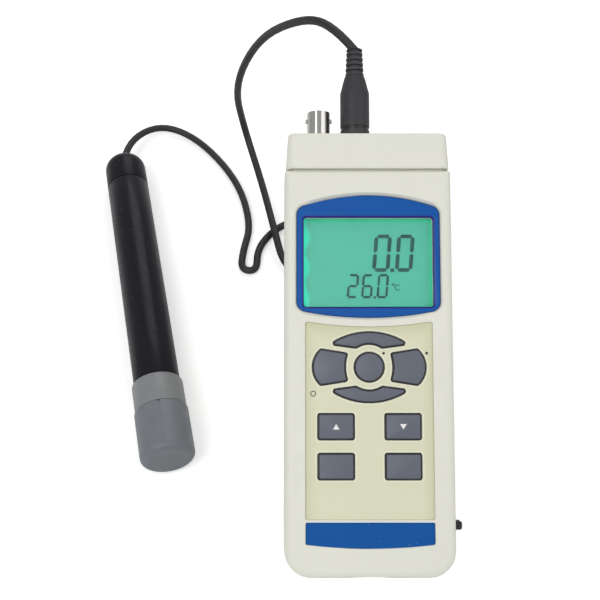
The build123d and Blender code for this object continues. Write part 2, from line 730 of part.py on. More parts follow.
def stand_recess():
    """Recess for the folded stand, with a finger hollow and two hinge holes."""
    half, low, high = recess_bounds()
    recess = block(-half, half, low, high, 0, STAND_RECESS)
    reach = STAND_HALF_WIDTH + STAND_PIN_LENGTH + FIT_GAP
    hole = along_x(STAND_PIVOT_Y, STAND_PIVOT_Z, STAND_PIN_R + STAND_PIN_GAP, -reach, reach)
    return recess + hole


def stand_stop():
    """Lip at the top of the recess that the opened stand leans on."""
    half, _, high = recess_bounds()
    lean = radians(STAND_OPEN)
    slide = (STAND_PIVOT_Z - STAND_THICK / 2 * cos(lean)) / sin(lean)
    tip = STAND_PIVOT_Y + STAND_THICK / 2 * sin(lean) - slide * cos(lean) + STAND_STOP_GAP
    profile = make_face(Polyline((tip, 0), (high, 0), (high, STAND_PIVOT_Z - FIT_GAP), close=True))
    bar = extrude(Plane.YZ * profile, half, both=True)
    return bar


def top_end_cap():
    """Drafted cap that closes the housing above the seam and carries the sockets."""
    start = SEAM_Y + SEAM_GAP
    length = METER_LENGTH - start
    plane = Plane(origin=(0, start, METER_DEPTH / 2), x_dir=(1, 0, 0), z_dir=(0, 1, 0))
    outer = extrude(plane * RectangleRounded(CAP_WIDTH, CAP_DEPTH, CAP_CORNER_R), length, taper=CAP_DRAFT)
    outer = fillet(outer.faces().sort_by(Axis.Y)[-1].edges(), CAP_EDGE_R)
    outer = chamfer(outer.faces().sort_by(Axis.Y)[0].edges(), SEAM_CHAMFER)
    spigot_w = 2 * (side_x(FACE_INNER_Z) - WALL - FIT_GAP)
    spigot_d = FACE_INNER_Z - WALL - 2 * FIT_GAP
    inner_w = spigot_w - 2 * CAP_SPIGOT_WALL
    inner_d = spigot_d - 2 * CAP_SPIGOT_WALL
    middle = (FACE_INNER_Z + WALL) / 2
    deep = Plane(origin=(0, start - CAP_SPIGOT, middle), x_dir=(1, 0, 0), z_dir=(0, 1, 0))
    spigot = extrude(deep * RectangleRounded(spigot_w, spigot_d, SEAM_CORNER_R), CAP_SPIGOT)
    hollow = extrude(deep * RectangleRounded(inner_w, inner_d, SEAM_CORNER_R), CAP_SPIGOT + length - WALL)
    cap = outer + spigot - hollow
    holes = [(COAX_X, COAX_STEM_R), (ROUND_X, ROUND_BODY_R), (TEMP_X, TEMP_BUSH_R - 2 * HEAD_GAP)]
    for x, radius in holes:
        cap -= along_y(x, SOCKET_Z, radius + PANEL_GAP, METER_LENGTH - 2 * WALL, METER_LENGTH + WALL)
    return cap


# Window and keypad


def display_bezel():
    """Coloured frame round the display, rebated behind for the lens and bevelled in front."""
    top = BEZEL_SEAT_Z + BEZEL_THICK
    frame = prism(window_outline(), BEZEL_SEAT_Z, top)
    frame = fillet(frame.faces().sort_by(Axis.Z)[-1].edges(), KEY_EDGE_R)
    frame -= prism(view_outline(), BEZEL_SEAT_Z, top)
    frame -= prism(view_outline(), top - BEZEL_CHAMFER, top, -45.0)
    return frame - prism(view_outline(LENS_BORDER), BEZEL_SEAT_Z, BEZEL_SEAT_Z + LENS_THICK)


def display_lens():
    """Clear plate in the bezel's rebate."""
    return prism(view_outline(LENS_BORDER - STACK_GAP), BEZEL_SEAT_Z, BEZEL_SEAT_Z + LENS_THICK - STACK_GAP / 2)


def keypad_faceplate():
    """Thin printed plate in the keypad field, pierced for the keys."""
    plate = prism(pad_outline(), PAD_FLOOR_Z, PLATE_TOP_Z)
    for sheet, _ in KEYS.values():
        plate -= prism(offset(sheet, KEY_PLATE_GAP), PAD_FLOOR_Z, PLATE_TOP_Z)
    return plate


def blank_strip():
    """Plain coloured strip under the keypad."""
    return prism(strip_outline(), PAD_FLOOR_Z, PLATE_TOP_Z)


def keypad_mat():
    """Rubber sheet on the board with one dome under each key."""
    low_y = LOWER_ROW_Y - SQUARE_KEY_HEIGHT / 2
    high_y = KEY_CENTRE_Y + KEY_BOW_APEX_RISE
    half = SQUARE_KEY_X + SQUARE_KEY_WIDTH / 2
    mat = block(-half, half, low_y, high_y, BOARD_TOP_Z, BOARD_TOP_Z + MAT_THICK)
    for _, (x, y) in KEYS.values():
        mat += post(x, y, MAT_DOME_R, BOARD_TOP_Z, MAT_TOP_Z)
    return mat


def key(sheet, centre):
    """Key cap with a flange under the case wall and a plunger over the mat."""
    cap = prism(sheet, KEY_FLANGE_TOP_Z, KEY_TOP_Z)
    cap = fillet(cap.faces().sort_by(Axis.Z)[-1].edges(), KEY_EDGE_R)
    flange = prism(offset(sheet, KEY_FLANGE), KEY_FLANGE_LOW_Z, KEY_FLANGE_TOP_Z)
    plunger = post(*centre, PLUNGER_R, PLUNGER_LOW_Z, KEY_FLANGE_LOW_Z)
    return cap + flange + plunger


# Display stack and electronics


def lcd_parts():
    """Backlight, glass, holder and contact strips, stacked on the board."""
    light_top = BOARD_TOP_Z + STACK_GAP + LIGHT_THICK
    glass_low = light_top + STACK_GAP
    light = prism(view_outline(LIGHT_BORDER), BOARD_TOP_Z + STACK_GAP, light_top)
    glass_sheet = Pos(0, VIEW_Y) * Rectangle(GLASS_WIDTH, GLASS_HEIGHT)
    glass = prism(glass_sheet, glass_low, glass_low + GLASS_THICK)
    inner = Pos(0, VIEW_Y) * Rectangle(GLASS_WIDTH + 2 * STACK_GAP, GLASS_HEIGHT + 2 * STACK_GAP)
    rim = 2 * (HOLDER_WALL + STACK_GAP)
    outer = Pos(0, VIEW_Y) * Rectangle(GLASS_WIDTH + rim, GLASS_HEIGHT + rim)
    holder = prism(outer - inner, BOARD_TOP_Z, glass_low + GLASS_THICK)
    reach = GLASS_HEIGHT / 2 - ZEBRA_DEPTH
    half = GLASS_WIDTH / 2 - LIGHT_BORDER
    strips = []
    for side in (-1, 1):
        y = VIEW_Y + side * (reach + ZEBRA_DEPTH / 2)
        strips.append(
            block(-half, half, y - ZEBRA_DEPTH / 2, y + ZEBRA_DEPTH / 2, BOARD_TOP_Z, glass_low)
        )
    return {
        "lcd_backlight": light,
        "lcd_glass": glass,
        "lcd_holder": holder,
        "lcd_zebra_strips": together(strips),
    }


def main_board():
    """Circuit board, notched round the housing's screw posts."""
    middle = (BOARD_START_Y + BOARD_END_Y) / 2
    sheet = Pos(0, middle) * Rectangle(2 * BOARD_HALF_WIDTH, BOARD_END_Y - BOARD_START_Y)
    sheet = fillet(sheet.vertices().group_by(Axis.Y)[0], CORNER_R - WALL)
    board = prism(sheet, BOARD_Z, BOARD_TOP_Z)
    for x, y in CASE_SCREWS:
        board -= post(x, y, BOSS_R + 2 * FIT_GAP, BOARD_Z, BOARD_TOP_Z)
    for x, y in BOARD_SCREWS:
        board -= post(x, y, BOARD_SCREW_R + FIT_GAP, BOARD_Z, BOARD_TOP_Z)
    return board


def board_screws():
    """Four small screws through the board into the front case."""
    pieces = []
    for x, y in BOARD_SCREWS:
        shank = post(x, y, BOARD_SCREW_R - STAND_PIN_GAP, BOARD_Z, BOARD_TOP_Z + BOARD_SCREW_REACH)
        head = post(x, y, 2 * BOARD_SCREW_R, BOARD_Z - BOARD_SCREW_HEAD, BOARD_Z)
        pieces.append(shank + head)
    return together(pieces)


def circuit_chips():
    """Chips, crystal and capacitors on the back of the board."""
    pieces = [
        block(x - w / 2, x + w / 2, y - d / 2, y + d / 2, BOARD_Z - h, BOARD_Z) for x, y, w, d, h in CHIPS
    ]
    for x, y in CAPACITORS:
        pieces.append(post(x, y, CAPACITOR_R, BOARD_Z - CAPACITOR_HEIGHT, BOARD_Z))
    return together(pieces)


def buzzer():
    """Round sounder on the back of the board with its sound hole."""
    body = post(*BUZZER_PLACE, BUZZER_R, BOARD_Z - BUZZER_HEIGHT, BOARD_Z)
    return body - post(*BUZZER_PLACE, BUZZER_R / 6, BOARD_Z - BUZZER_HEIGHT, BOARD_Z - BUZZER_HEIGHT / 2)


def jack(y, width, nose_r, bore_r, pin_r=0.0):
    """Board jack whose nose reaches through the side wall to the port pocket."""
    inner_x = PORT_FLOOR_X - PORT_BACKING - FIT_GAP
    body = block(
        inner_x - JACK_DEPTH, inner_x, y - width / 2, y + width / 2, BOARD_TOP_Z, BOARD_TOP_Z + JACK_HEIGHT
    )
    body += along_x(y, JACK_Z, nose_r, inner_x - FIT_GAP, PORT_FLOOR_X - FIT_GAP)
    body -= along_x(y, JACK_Z, bore_r, inner_x - JACK_DEPTH + WALL, PORT_FLOOR_X)
    if pin_r:
        body += along_x(y, JACK_Z, pin_r, inner_x - JACK_DEPTH + WALL / 2, PORT_FLOOR_X - 2 * FIT_GAP)
    return body


def card_parts():
    """Memory card with its cut corner, and the metal socket round it."""
    half = CARD_WIDTH / 2
    end = CARD_START_Y + CARD_LENGTH
    outline = Polyline(
        (-half, CARD_START_Y),
        (half, CARD_START_Y),
        (half, end),
        (-half + CARD_CORNER, end),
        (-half, end - CARD_CORNER),
        close=True,
    )
    card = prism(make_face(outline), CARD_LOW_Z, CARD_LOW_Z + CARD_THICK)
    shell_half = half + CARD_GAP + CARD_SOCKET_WALL
    shell_end = CARD_SOCKET_START_Y + CARD_SOCKET_LENGTH
    high = CARD_LOW_Z + CARD_THICK + CARD_GAP / 2
    shell = block(
        -shell_half, shell_half, CARD_SOCKET_START_Y, shell_end, BOARD_TOP_Z, high + CARD_SOCKET_WALL
    )
    room = block(
        -half - CARD_GAP, half + CARD_GAP, -WALL, shell_end + WALL, CARD_LOW_Z - CARD_GAP / 2, high
    )
    return {"sd_card": card, "sd_card_socket": shell - room}


# Power


def cell_centres():
    """Y and Z of each cell."""
    pitch = 2 * CELL_R + CELL_GAP
    for layer in range(CELL_LAYERS):
        for place in range(CELLS_PER_LAYER):
            y = CELL_START_Y + CELL_R + place * pitch
            z = CELL_LOW_Z + CELL_R + layer * 2 * CELL_R
            yield y, z, 1 if (place + layer) % 2 else -1


def batteries():
    """AA cells across the housing, each with its raised end terminal."""
    cells = []
    for y, z, side in cell_centres():
        body_half = CELL_LENGTH / 2
        start = -body_half + (CELL_NUB if side < 0 else 0)
        end = body_half - (CELL_NUB if side > 0 else 0)
        cell = along_x(y, z, CELL_R - STACK_GAP, start, end)
        nub_start = end if side > 0 else -body_half
        cell += along_x(y, z, CELL_NUB_R, nub_start, nub_start + CELL_NUB)
        cells.append(cell)
    return together(cells)


def battery_contacts():
    """Flat plates at one end of each cell and coned springs at the other."""
    pieces = []
    for y, z, side in cell_centres():
        wall_x = TRAY_HALF_LENGTH
        for end in (-1, 1):
            plate_out = end * wall_x
            plate_in = end * (wall_x - CONTACT_THICK)
            low, high = sorted((plate_out, plate_in))
            half = CONTACT_HALF_WIDTH
            plate = block(low, high, y - half, y + half, z - half, z + half)
            if end != side:
                gap = wall_x - CONTACT_THICK - CELL_LENGTH / 2
                cone = Cone(SPRING_BASE_R, SPRING_TIP_R, gap - STACK_GAP)
                centre = end * (wall_x - CONTACT_THICK - (gap - STACK_GAP) / 2)
                plate += Pos(centre, y, z) * Rot(Y=-90 * end) * cone
            pieces.append(plate)
    return together(pieces)


def battery_cover():
    """Hatch over the cells, with grip ridges and two screw holes."""
    hatch = prism(hatch_outline(), 0, HATCH_THICK)
    hatch = chamfer(hatch.faces().sort_by(Axis.Z)[0].edges(), 2 * FIT_GAP)
    for x, y in HATCH_SCREWS:
        hatch -= post(x, y, HATCH_SCREW_R + FIT_GAP, 0, HATCH_THICK)
        hatch -= post(x, y, HATCH_SCREW_HEAD_R + FIT_GAP, 0, HATCH_SCREW_HEAD)
    half = HATCH_GRIP_HALF_LENGTH
    for step in range(HATCH_GRIPS):
        y = HATCH_GRIP_START_Y + step * HATCH_GRIP_PITCH
        hatch -= block(-half, half, y, y + HATCH_GRIP_WIDTH, 0, HATCH_THICK / 3)
    return hatch


def cross_head_screw(x, y, face_z, head_r, head, shank_r, length):
    """Pan head screw driven from behind, with a cross slot."""
    screw = post(x, y, head_r, face_z, face_z + head)
    screw += post(x, y, shank_r, face_z + head, face_z + head + length)
    slot = head_r / 4
    for wide, deep in ((head_r * 0.6, slot / 2), (slot / 2, head_r * 0.6)):
        screw -= block(x - wide, x + wide, y - deep, y + deep, face_z, face_z + head / 2)
    return screw


def case_screws():
    """Four screws that join the housing halves."""
    return together(
        [
            cross_head_screw(
                x, y, CASE_SCREW_SINK, CASE_SCREW_HEAD_R, CASE_SCREW_HEAD, CASE_SCREW_R - STAND_PIN_GAP,
                CASE_SCREW_LENGTH,
            )
            for x, y in CASE_SCREWS
        ]
    )


def battery_cover_screws():
    """Two screws that hold the hatch."""
    return together(
        [
            cross_head_screw(
                x, y, 0, HATCH_SCREW_HEAD_R, HATCH_SCREW_HEAD, HATCH_SCREW_R - STAND_PIN_GAP,
                HATCH_SCREW_LENGTH,
            )
            for x, y in HATCH_SCREWS
        ]
    )


# Moving covers


def opened(shape):
    """Swing a piece of the folded stand out to its open rest."""
    pivot = Pos(0, STAND_PIVOT_Y, STAND_PIVOT_Z)
    return pivot * Rot(X=STAND_OPEN) * pivot.inverse() * shape


def stand_parts():
    """Flap with its hinge pins and window, and the rubber shoe on its foot."""
    half_t = STAND_THICK / 2
    foot_y = STAND_PIVOT_Y - STAND_REACH
    shoe_start = foot_y + FOOT_PAD_LENGTH - FOOT_PAD_R
    flap = block(
        -STAND_HALF_WIDTH,
        STAND_HALF_WIDTH,
        shoe_start,
        STAND_PIVOT_Y,
        STAND_PIVOT_Z - half_t,
        STAND_PIVOT_Z + half_t,
    )
    flap += along_x(STAND_PIVOT_Y, STAND_PIVOT_Z, half_t, -STAND_HALF_WIDTH, STAND_HALF_WIDTH)
    reach = STAND_HALF_WIDTH + STAND_PIN_LENGTH
    flap += along_x(STAND_PIVOT_Y, STAND_PIVOT_Z, STAND_PIN_R, -reach, reach)
    middle = (shoe_start + STAND_PIVOT_Y) / 2
    window = Pos(0, middle) * RectangleRounded(
        STAND_WINDOW_WIDTH, STAND_WINDOW_LENGTH, STAND_WINDOW_CORNER_R
    )
    flap -= prism(window, 0, STAND_RECESS)
    half_pad = FOOT_PAD_WIDTH / 2
    tongue_half = FOOT_TONGUE / 2
    tongue = block(
        -half_pad + WALL,
        half_pad - WALL,
        foot_y + FOOT_PAD_R,
        shoe_start,
        STAND_PIVOT_Z - tongue_half,
        STAND_PIVOT_Z + tongue_half,
    )
    shoe = block(
        -half_pad,
        half_pad,
        foot_y,
        shoe_start - STACK_GAP,
        STAND_PIVOT_Z - FOOT_PAD_R,
        STAND_PIVOT_Z + FOOT_PAD_R,
    )
    shoe += along_x(foot_y, STAND_PIVOT_Z, FOOT_PAD_R, -half_pad, half_pad)
    return {"tilt_stand": opened(flap + tongue), "stand_foot_pad": opened(shoe - tongue)}


def port_cover():
    """Soft cover over the jacks, with hinge pins and a pull tab."""
    inner = PORT_OUTER_X - PORT_COVER_THICK
    gap = PORT_COVER_GAP
    cover = block(
        inner, PORT_OUTER_X, PORT_START_Y + gap, PORT_PIVOT_Y, PORT_LOW_Z + gap, PORT_HIGH_Z - gap
    )
    cover += post(
        PORT_PIVOT_X, PORT_PIVOT_Y, PORT_COVER_THICK / 2, PORT_LOW_Z + gap, PORT_HIGH_Z - gap
    )
    low, high = PORT_LOW_Z - PORT_PIN_LENGTH, PORT_HIGH_Z + PORT_PIN_LENGTH
    cover += post(PORT_PIVOT_X, PORT_PIVOT_Y, PORT_PIN_R, low, high)
    tab = block(
        PORT_OUTER_X - PORT_COVER_THICK / 2,
        PORT_OUTER_X + PULL_TAB_RISE,
        PULL_TAB_Y - PULL_TAB_WIDTH / 2,
        PULL_TAB_Y + PULL_TAB_WIDTH / 2,
        PORT_MIDDLE_Z - PULL_TAB_LENGTH / 2,
        PORT_MIDDLE_Z + PULL_TAB_LENGTH / 2,
    )
    tab = fillet(tab.faces().sort_by(Axis.X)[-1].edges(), PULL_TAB_WIDTH / 3)
    return cover + tab


# Sockets and plug


def coax_parts():
    """Bayonet socket, its white insulator and its hexagonal nut."""
    base = METER_LENGTH
    barrel = along_y(COAX_X, SOCKET_Z, COAX_STEM_R, base - SOCKET_DEPTH, base + COAX_NUT_THICK + PANEL_GAP)
    barrel += along_y(COAX_X, SOCKET_Z, COAX_BARREL_R, base + COAX_NUT_THICK + PANEL_GAP, COAX_END_Y)
    nut_low = base - WALL - PANEL_NUT_THICK
    barrel += along_y(COAX_X, SOCKET_Z, COAX_BARREL_R + PANEL_NUT_RIM, nut_low, base - WALL - PANEL_GAP)
    lug_x = COAX_LUG_REACH
    barrel += Pos(COAX_X, COAX_LUG_Y, SOCKET_Z) * Rot(Y=90) * Cylinder(COAX_LUG_R, 2 * lug_x)
    barrel -= along_y(COAX_X, SOCKET_Z, COAX_BORE_R, base, COAX_END_Y)
    insulator = along_y(COAX_X, SOCKET_Z, COAX_BORE_R, base, base + WALL)
    dielectric_end = COAX_END_Y - COAX_DIELECTRIC_SETBACK
    insulator += along_y(COAX_X, SOCKET_Z, COAX_DIELECTRIC_R, base + WALL, dielectric_end)
    insulator -= along_y(COAX_X, SOCKET_Z, COAX_PIN_R, base + WALL, COAX_END_Y)
    plane = Plane(origin=(COAX_X, base, SOCKET_Z), x_dir=(1, 0, 0), z_dir=(0, 1, 0))
    nut = extrude(plane * RegularPolygon(COAX_NUT_ACROSS / 2, 6, major_radius=False), COAX_NUT_THICK)
    nut -= along_y(COAX_X, SOCKET_Z, COAX_STEM_R + PANEL_GAP, base, base + COAX_NUT_THICK)
    return {"bnc_socket": barrel, "bnc_insulator": insulator, "bnc_nut": nut}


def pin_places():
    """X and Z of each pin of the round socket, round three quarters of a circle."""
    for index in range(ROUND_PINS):
        angle = radians(-135 + index * 270 / (ROUND_PINS - 1) + 90)
        yield ROUND_X + ROUND_PIN_CIRCLE_R * cos(angle), SOCKET_Z + ROUND_PIN_CIRCLE_R * sin(angle)


def probe_socket():
    """Round panel socket with a flange and one blind hole for each pin."""
    base = METER_LENGTH
    body = along_y(ROUND_X, SOCKET_Z, ROUND_BODY_R, base - SOCKET_DEPTH, base + ROUND_FLANGE)
    body += along_y(ROUND_X, SOCKET_Z, ROUND_FLANGE_R, base, base + ROUND_FLANGE)
    for x, z in pin_places():
        depth = PIN_DEPTH + 2 * FIT_GAP
        body -= along_y(x, z, PIN_R + PIN_GAP, base + ROUND_FLANGE - depth, base + ROUND_FLANGE)
    return body


def temperature_socket():
    """Small round jack with a threaded bush."""
    base = METER_LENGTH
    body = along_y(TEMP_X, SOCKET_Z, TEMP_BUSH_R - 2 * HEAD_GAP, base - WALL - FIT_GAP, base + TEMP_BUSH_RISE)
    body += along_y(TEMP_X, SOCKET_Z, TEMP_BUSH_R + PANEL_NUT_RIM, base, base + TEMP_BUSH_RISE / 2)
    body += block(
        TEMP_X - TEMP_BUSH_R,
        TEMP_X + TEMP_BUSH_R,
        base - SOCKET_DEPTH,
        base - WALL - PANEL_GAP,
        SOCKET_Z - TEMP_BUSH_R,
        SOCKET_Z + TEMP_BUSH_R,
    )
    end = base + TEMP_BUSH_RISE
    return body - along_y(TEMP_X, SOCKET_Z, TEMP_BORE_R, end - TEMP_BORE_DEPTH, end)


def plug_parts():
    """Plug shell with a grooved foot, its pins, and the ribbed strain relief."""
    foot = PLUG_START_Y
    ring_end = PLUG_GROOVE_Y + PLUG_GROOVE_WIDTH
    shell = turned(
        [
            (0, foot),
            (PLUG_R, foot),
            (PLUG_R, PLUG_GROOVE_Y),
            (PLUG_R - PLUG_GROOVE_DEPTH, PLUG_GROOVE_Y),
            (PLUG_R - PLUG_GROOVE_DEPTH, ring_end),
            (PLUG_R, ring_end),
            (PLUG_R, PLUG_SHOULDER_Y),
            (PLUG_NECK_R, PLUG_NECK_Y),
            (0, PLUG_NECK_Y),
        ]
    )
    relief = turned(
        [(0, PLUG_NECK_Y), (RELIEF_BASE_R, PLUG_NECK_Y), (RELIEF_TIP_R, RELIEF_END_Y), (0, RELIEF_END_Y)]
    )
    pitch = (RELIEF_END_Y - PLUG_NECK_Y) / (RELIEF_RIBS + 0.5)
    for index in range(RELIEF_RIBS):
        y = PLUG_NECK_Y + pitch * (index + 0.75)
        ring = along_y(0, 0, PLUG_R, y, y + RELIEF_RIB_GAP)
        core = along_y(0, 0, RELIEF_TIP_R - RELIEF_RIB_DEPTH, y, y + RELIEF_RIB_GAP)
        relief -= ring - core
    place = Pos(ROUND_X, 0, SOCKET_Z)
    start = METER_LENGTH + ROUND_FLANGE - PIN_DEPTH
    pins = [along_y(x, z, PIN_R, start, PLUG_START_Y) for x, z in pin_places()]
    return {"plug_body": place * shell, "plug_strain_relief": place * relief, "plug_pins": together(pins)}


# Probe


def probe_parts():
    """Dome, handle tube, collar, sensor body, membrane cap, seals, sensor and protective cap."""
    dome_start = PROBE_TUBE_END
    dome = along_y(0, 0, PROBE_TUBE_R, dome_start + PROBE_SEAM, PROBE_LENGTH)
    dome = fillet(dome.faces().sort_by(Axis.Y)[-1].edges(), PROBE_DOME_R)
    spigot_r = PROBE_TUBE_R - PROBE_WALL
    dome += along_y(0, 0, spigot_r - FIT_GAP / 2, dome_start - PROBE_SPIGOT, dome_start + WALL)
    dome -= along_y(0, 0, spigot_r - PROBE_WALL, dome_start - PROBE_SPIGOT, dome_start + WALL)

    handle = along_y(0, 0, PROBE_TUBE_R, PROBE_COLLAR_END + PROBE_SEAM, PROBE_TUBE_END)
    handle -= along_y(0, 0, spigot_r, PROBE_COLLAR_END, PROBE_TUBE_END)

    body_end = PROBE_COLLAR_END + PROBE_BODY_TAIL
    collar = along_y(0, 0, PROBE_COLLAR_R, PROBE_CAP_END + PROBE_SEAM, PROBE_COLLAR_END)
    collar = chamfer(collar.faces().sort_by(Axis.Y)[-1].edges(), 2 * FIT_GAP)
    collar -= along_y(0, 0, PROBE_BODY_R + COLLAR_FIT, PROBE_CAP_END, PROBE_COLLAR_END)

    sensor = along_y(0, 0, PROBE_BODY_R, PROBE_BODY_START, body_end)
    sensor -= along_y(0, 0, PROBE_BODY_R / 2, PROBE_COLLAR_END, body_end)
    seat = MEMBRANE_R - MEMBRANE_WALL
    shoulder = PROBE_BODY_START + MEMBRANE_OVERLAP
    step = along_y(0, 0, PROBE_BODY_R, PROBE_BODY_START, shoulder)
    sensor -= step - along_y(0, 0, seat, PROBE_BODY_START, shoulder)
    membrane_end = shoulder - STACK_GAP
    membrane = along_y(0, 0, MEMBRANE_R, MEMBRANE_START, membrane_end)
    membrane -= along_y(0, 0, seat + STACK_GAP, PROBE_BODY_START - STACK_GAP, membrane_end)
    rings = []
    for station in O_RING_STATIONS:
        track = PROBE_BODY_R - O_RING_R / 2
        ring = Pos(0, station, 0) * Rot(X=90) * Torus(track, O_RING_R)
        rings.append(ring)
        sensor -= ring
    tip = PROBE_BODY_START - THERMISTOR_REACH
    thermistor = along_y(THERMISTOR_OFFSET, 0, THERMISTOR_R / 2, tip, tip + THERMISTOR_LENGTH)
    sensor -= thermistor
    membrane -= along_y(THERMISTOR_OFFSET, 0, THERMISTOR_R / 2 + STACK_GAP, tip, membrane_end)
    return {
        "probe_end_cap": dome,
        "probe_handle": handle,
        "probe_collar": collar,
        "probe_sensor_body": sensor,
        "probe_membrane_cap": membrane,
        "probe_o_rings": together(rings),
        "probe_temperature_sensor": thermistor,
        "probe_cap": probe_cap(),
    }


def probe_cap():
    """Protective cap that pulls off the sensor end."""
    cap = along_y(0, 0, PROBE_CAP_R, 0, PROBE_CAP_END)
    cap = fillet(cap.faces().sort_by(Axis.Y)[0].edges(), PROBE_CAP_EDGE_R)
    cap = chamfer(cap.faces().sort_by(Axis.Y)[-1].edges(), PROBE_CAP_CHAMFER)
    bore = PROBE_BODY_R + O_RING_R / 2 + PROBE_CAP_FIT
    cap -= along_y(0, 0, bore, PROBE_CAP_WALL, PROBE_CAP_END)
    notch = Pos(0, PROBE_CAP_END, PROBE_CAP_R) * Rot(Z=45) * Box(CAP_NOTCH, CAP_NOTCH, PROBE_CAP_WALL)
    return cap - notch


# Lead


def bend_radii(points):
    """Largest radius that each corner's two runs allow."""
    radii = []
    for before, here, after in zip(points, points[1:], points[2:]):
        one, two = Vector(*here) - Vector(*before), Vector(*after) - Vector(*here)
        half_turn = radians(one.get_angle(two)) / 2
        radii.append(0.45 * min(one.length, two.length) / tan(half_turn))
    return radii


def lead_tube(points):
    """Round tube along straight runs joined by tangent arcs."""
    radii = bend_radii(points)
    path = FilletPolyline(*points, radius=radii)
    section = Plane(origin=path @ 0, z_dir=path % 0) * Circle(LEAD_D / 2)
    tube = sweep(section, path=path)
    print("lead", round(path.length, 1), "mm, radii", [round(radius, 1) for radius in radii])
    print("  volume", round(tube.volume, 1), "of", round(path.length * pi * LEAD_D**2 / 4, 1))
    return tube


def coil_section(shrink=0.0):
    """Half section of the coiled lead in the XZ plane."""
    width, height = COIL_WIDTH - 2 * shrink, COIL_HEIGHT - 2 * shrink
    outline = RectangleRounded(width, height, COIL_EDGE_R - shrink)
    return Plane.XZ * Pos(COIL_MEAN_R, COIL_HEIGHT / 2) * outline


def coil_parts():
    """Wound lead as one ring, and the tie round it."""
    ring = revolve(coil_section(), Axis.Z)
    band = revolve(coil_section() - coil_section(TIE_THICK), Axis.Z, TIE_ARC)
    band = Rot(Z=TIE_ANGLE) * band
    place = Pos(*COIL_CENTRE, 0)
    return {"lead_coil": place * (ring - band), "coil_tie": place * band}


# Placing


def tilted(shape):
    """Lean the meter back on its stand."""
    return Pos(0, 0, TABLE_DROP) * Rot(X=TILT) * shape


PROBE_DOME_R = PROBE_TUBE_R - LEAD_D / 2 - PROBE_SEAM
PROBE_RIM = PROBE_CAP_END - PROBE_CAP_CHAMFER
PROBE_PITCH = degrees(atan2(PROBE_CAP_R - PROBE_TUBE_R, PROBE_LENGTH - PROBE_DOME_R - PROBE_RIM))


def laid(shape):
    """Lay the probe on the table, on its cap's rim and the end of its tube."""
    height = PROBE_CAP_R * cos(radians(PROBE_PITCH)) + PROBE_RIM * sin(radians(PROBE_PITCH))
    return Pos(*PROBE_PLACE, height) * Rot(Z=PROBE_YAW) * Rot(X=-PROBE_PITCH) * shape


def build():
    """Make every piece, place it and move the origin under the middle of meter and probe."""
    meter = {
        "front_case": front_case(),
        "rear_case": rear_case(),
        "top_end_cap": top_end_cap(),
        "display_bezel": display_bezel(),
        "display_lens": display_lens(),
        "keypad_faceplate": keypad_faceplate(),
        "blank_strip": blank_strip(),
        "keypad_mat": keypad_mat(),
        "main_board": main_board(),
        "board_screws": board_screws(),
        "circuit_chips": circuit_chips(),
        "buzzer": buzzer(),
        "power_jack": jack(POWER_JACK_Y, POWER_JACK_WIDTH, POWER_JACK_R, POWER_BORE_R, POWER_PIN_R),
        "serial_jack": jack(SERIAL_JACK_Y, SERIAL_JACK_WIDTH, SERIAL_JACK_R, SERIAL_BORE_R),
        "batteries": batteries(),
        "battery_contacts": battery_contacts(),
        "battery_cover": battery_cover(),
        "battery_cover_screws": battery_cover_screws(),
        "case_screws": case_screws(),
        "port_cover": port_cover(),
        "probe_socket": probe_socket(),
        "temperature_socket": temperature_socket(),
        **lcd_parts(),
        **card_parts(),
        **stand_parts(),
        **coax_parts(),
    }
    for name, (sheet, centre) in KEYS.items():
        meter[name] = key(sheet, centre)
    plug = plug_parts()
    free = {name: tilted(shape) for name, shape in meter.items()}
    free.update({name: laid(shape) for name, shape in probe_parts().items()})

    plug_exit = tilted(Pos(ROUND_X, RELIEF_END_Y, SOCKET_Z))
    probe_exit = laid(Pos(0, PROBE_LENGTH, 0))
    start = tuple(plug_exit.position)
    finish = tuple(probe_exit.position)
    cord = {name: tilted(shape) for name, shape in plug.items()}
    cord["lead_from_plug"] = lead_tube([start, *PLUG_LEAD_POINTS])
    cord["lead_to_probe"] = lead_tube([finish, *PROBE_LEAD_POINTS])
    cord.update(coil_parts())

    box = Compound(children=[Compound(shape.solids()) for shape in free.values()]).bounding_box()
    home = Pos(-box.center().X, -box.center().Y, -box.min.Z)
    return home, {name: home * shape for name, shape in {**free, **cord}.items()}


os.makedirs(OUTPUT, exist_ok=True)
HOME, SHAPES = build()
print("home", tuple(HOME.position), "stand opened by", round(STAND_OPEN, 2))
for node, solid in SHAPES.items():
    export_step(solid, os.path.join(OUTPUT, node + ".step"))
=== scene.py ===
"""Dress a handheld water quality data logger and its oxygen probe.

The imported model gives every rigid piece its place. This script gives the pieces their finished
form: smooth turned probe and plug, crowned keys with dark rims, display digits, the flexible lead,
and a procedural material for every surface.
"""

import json
import logging
import math
from dataclasses import dataclass
from enum import Enum
from typing import Callable, Dict, List, Optional, Sequence, Tuple

import bmesh
import bpy
from mathutils import Matrix, Vector

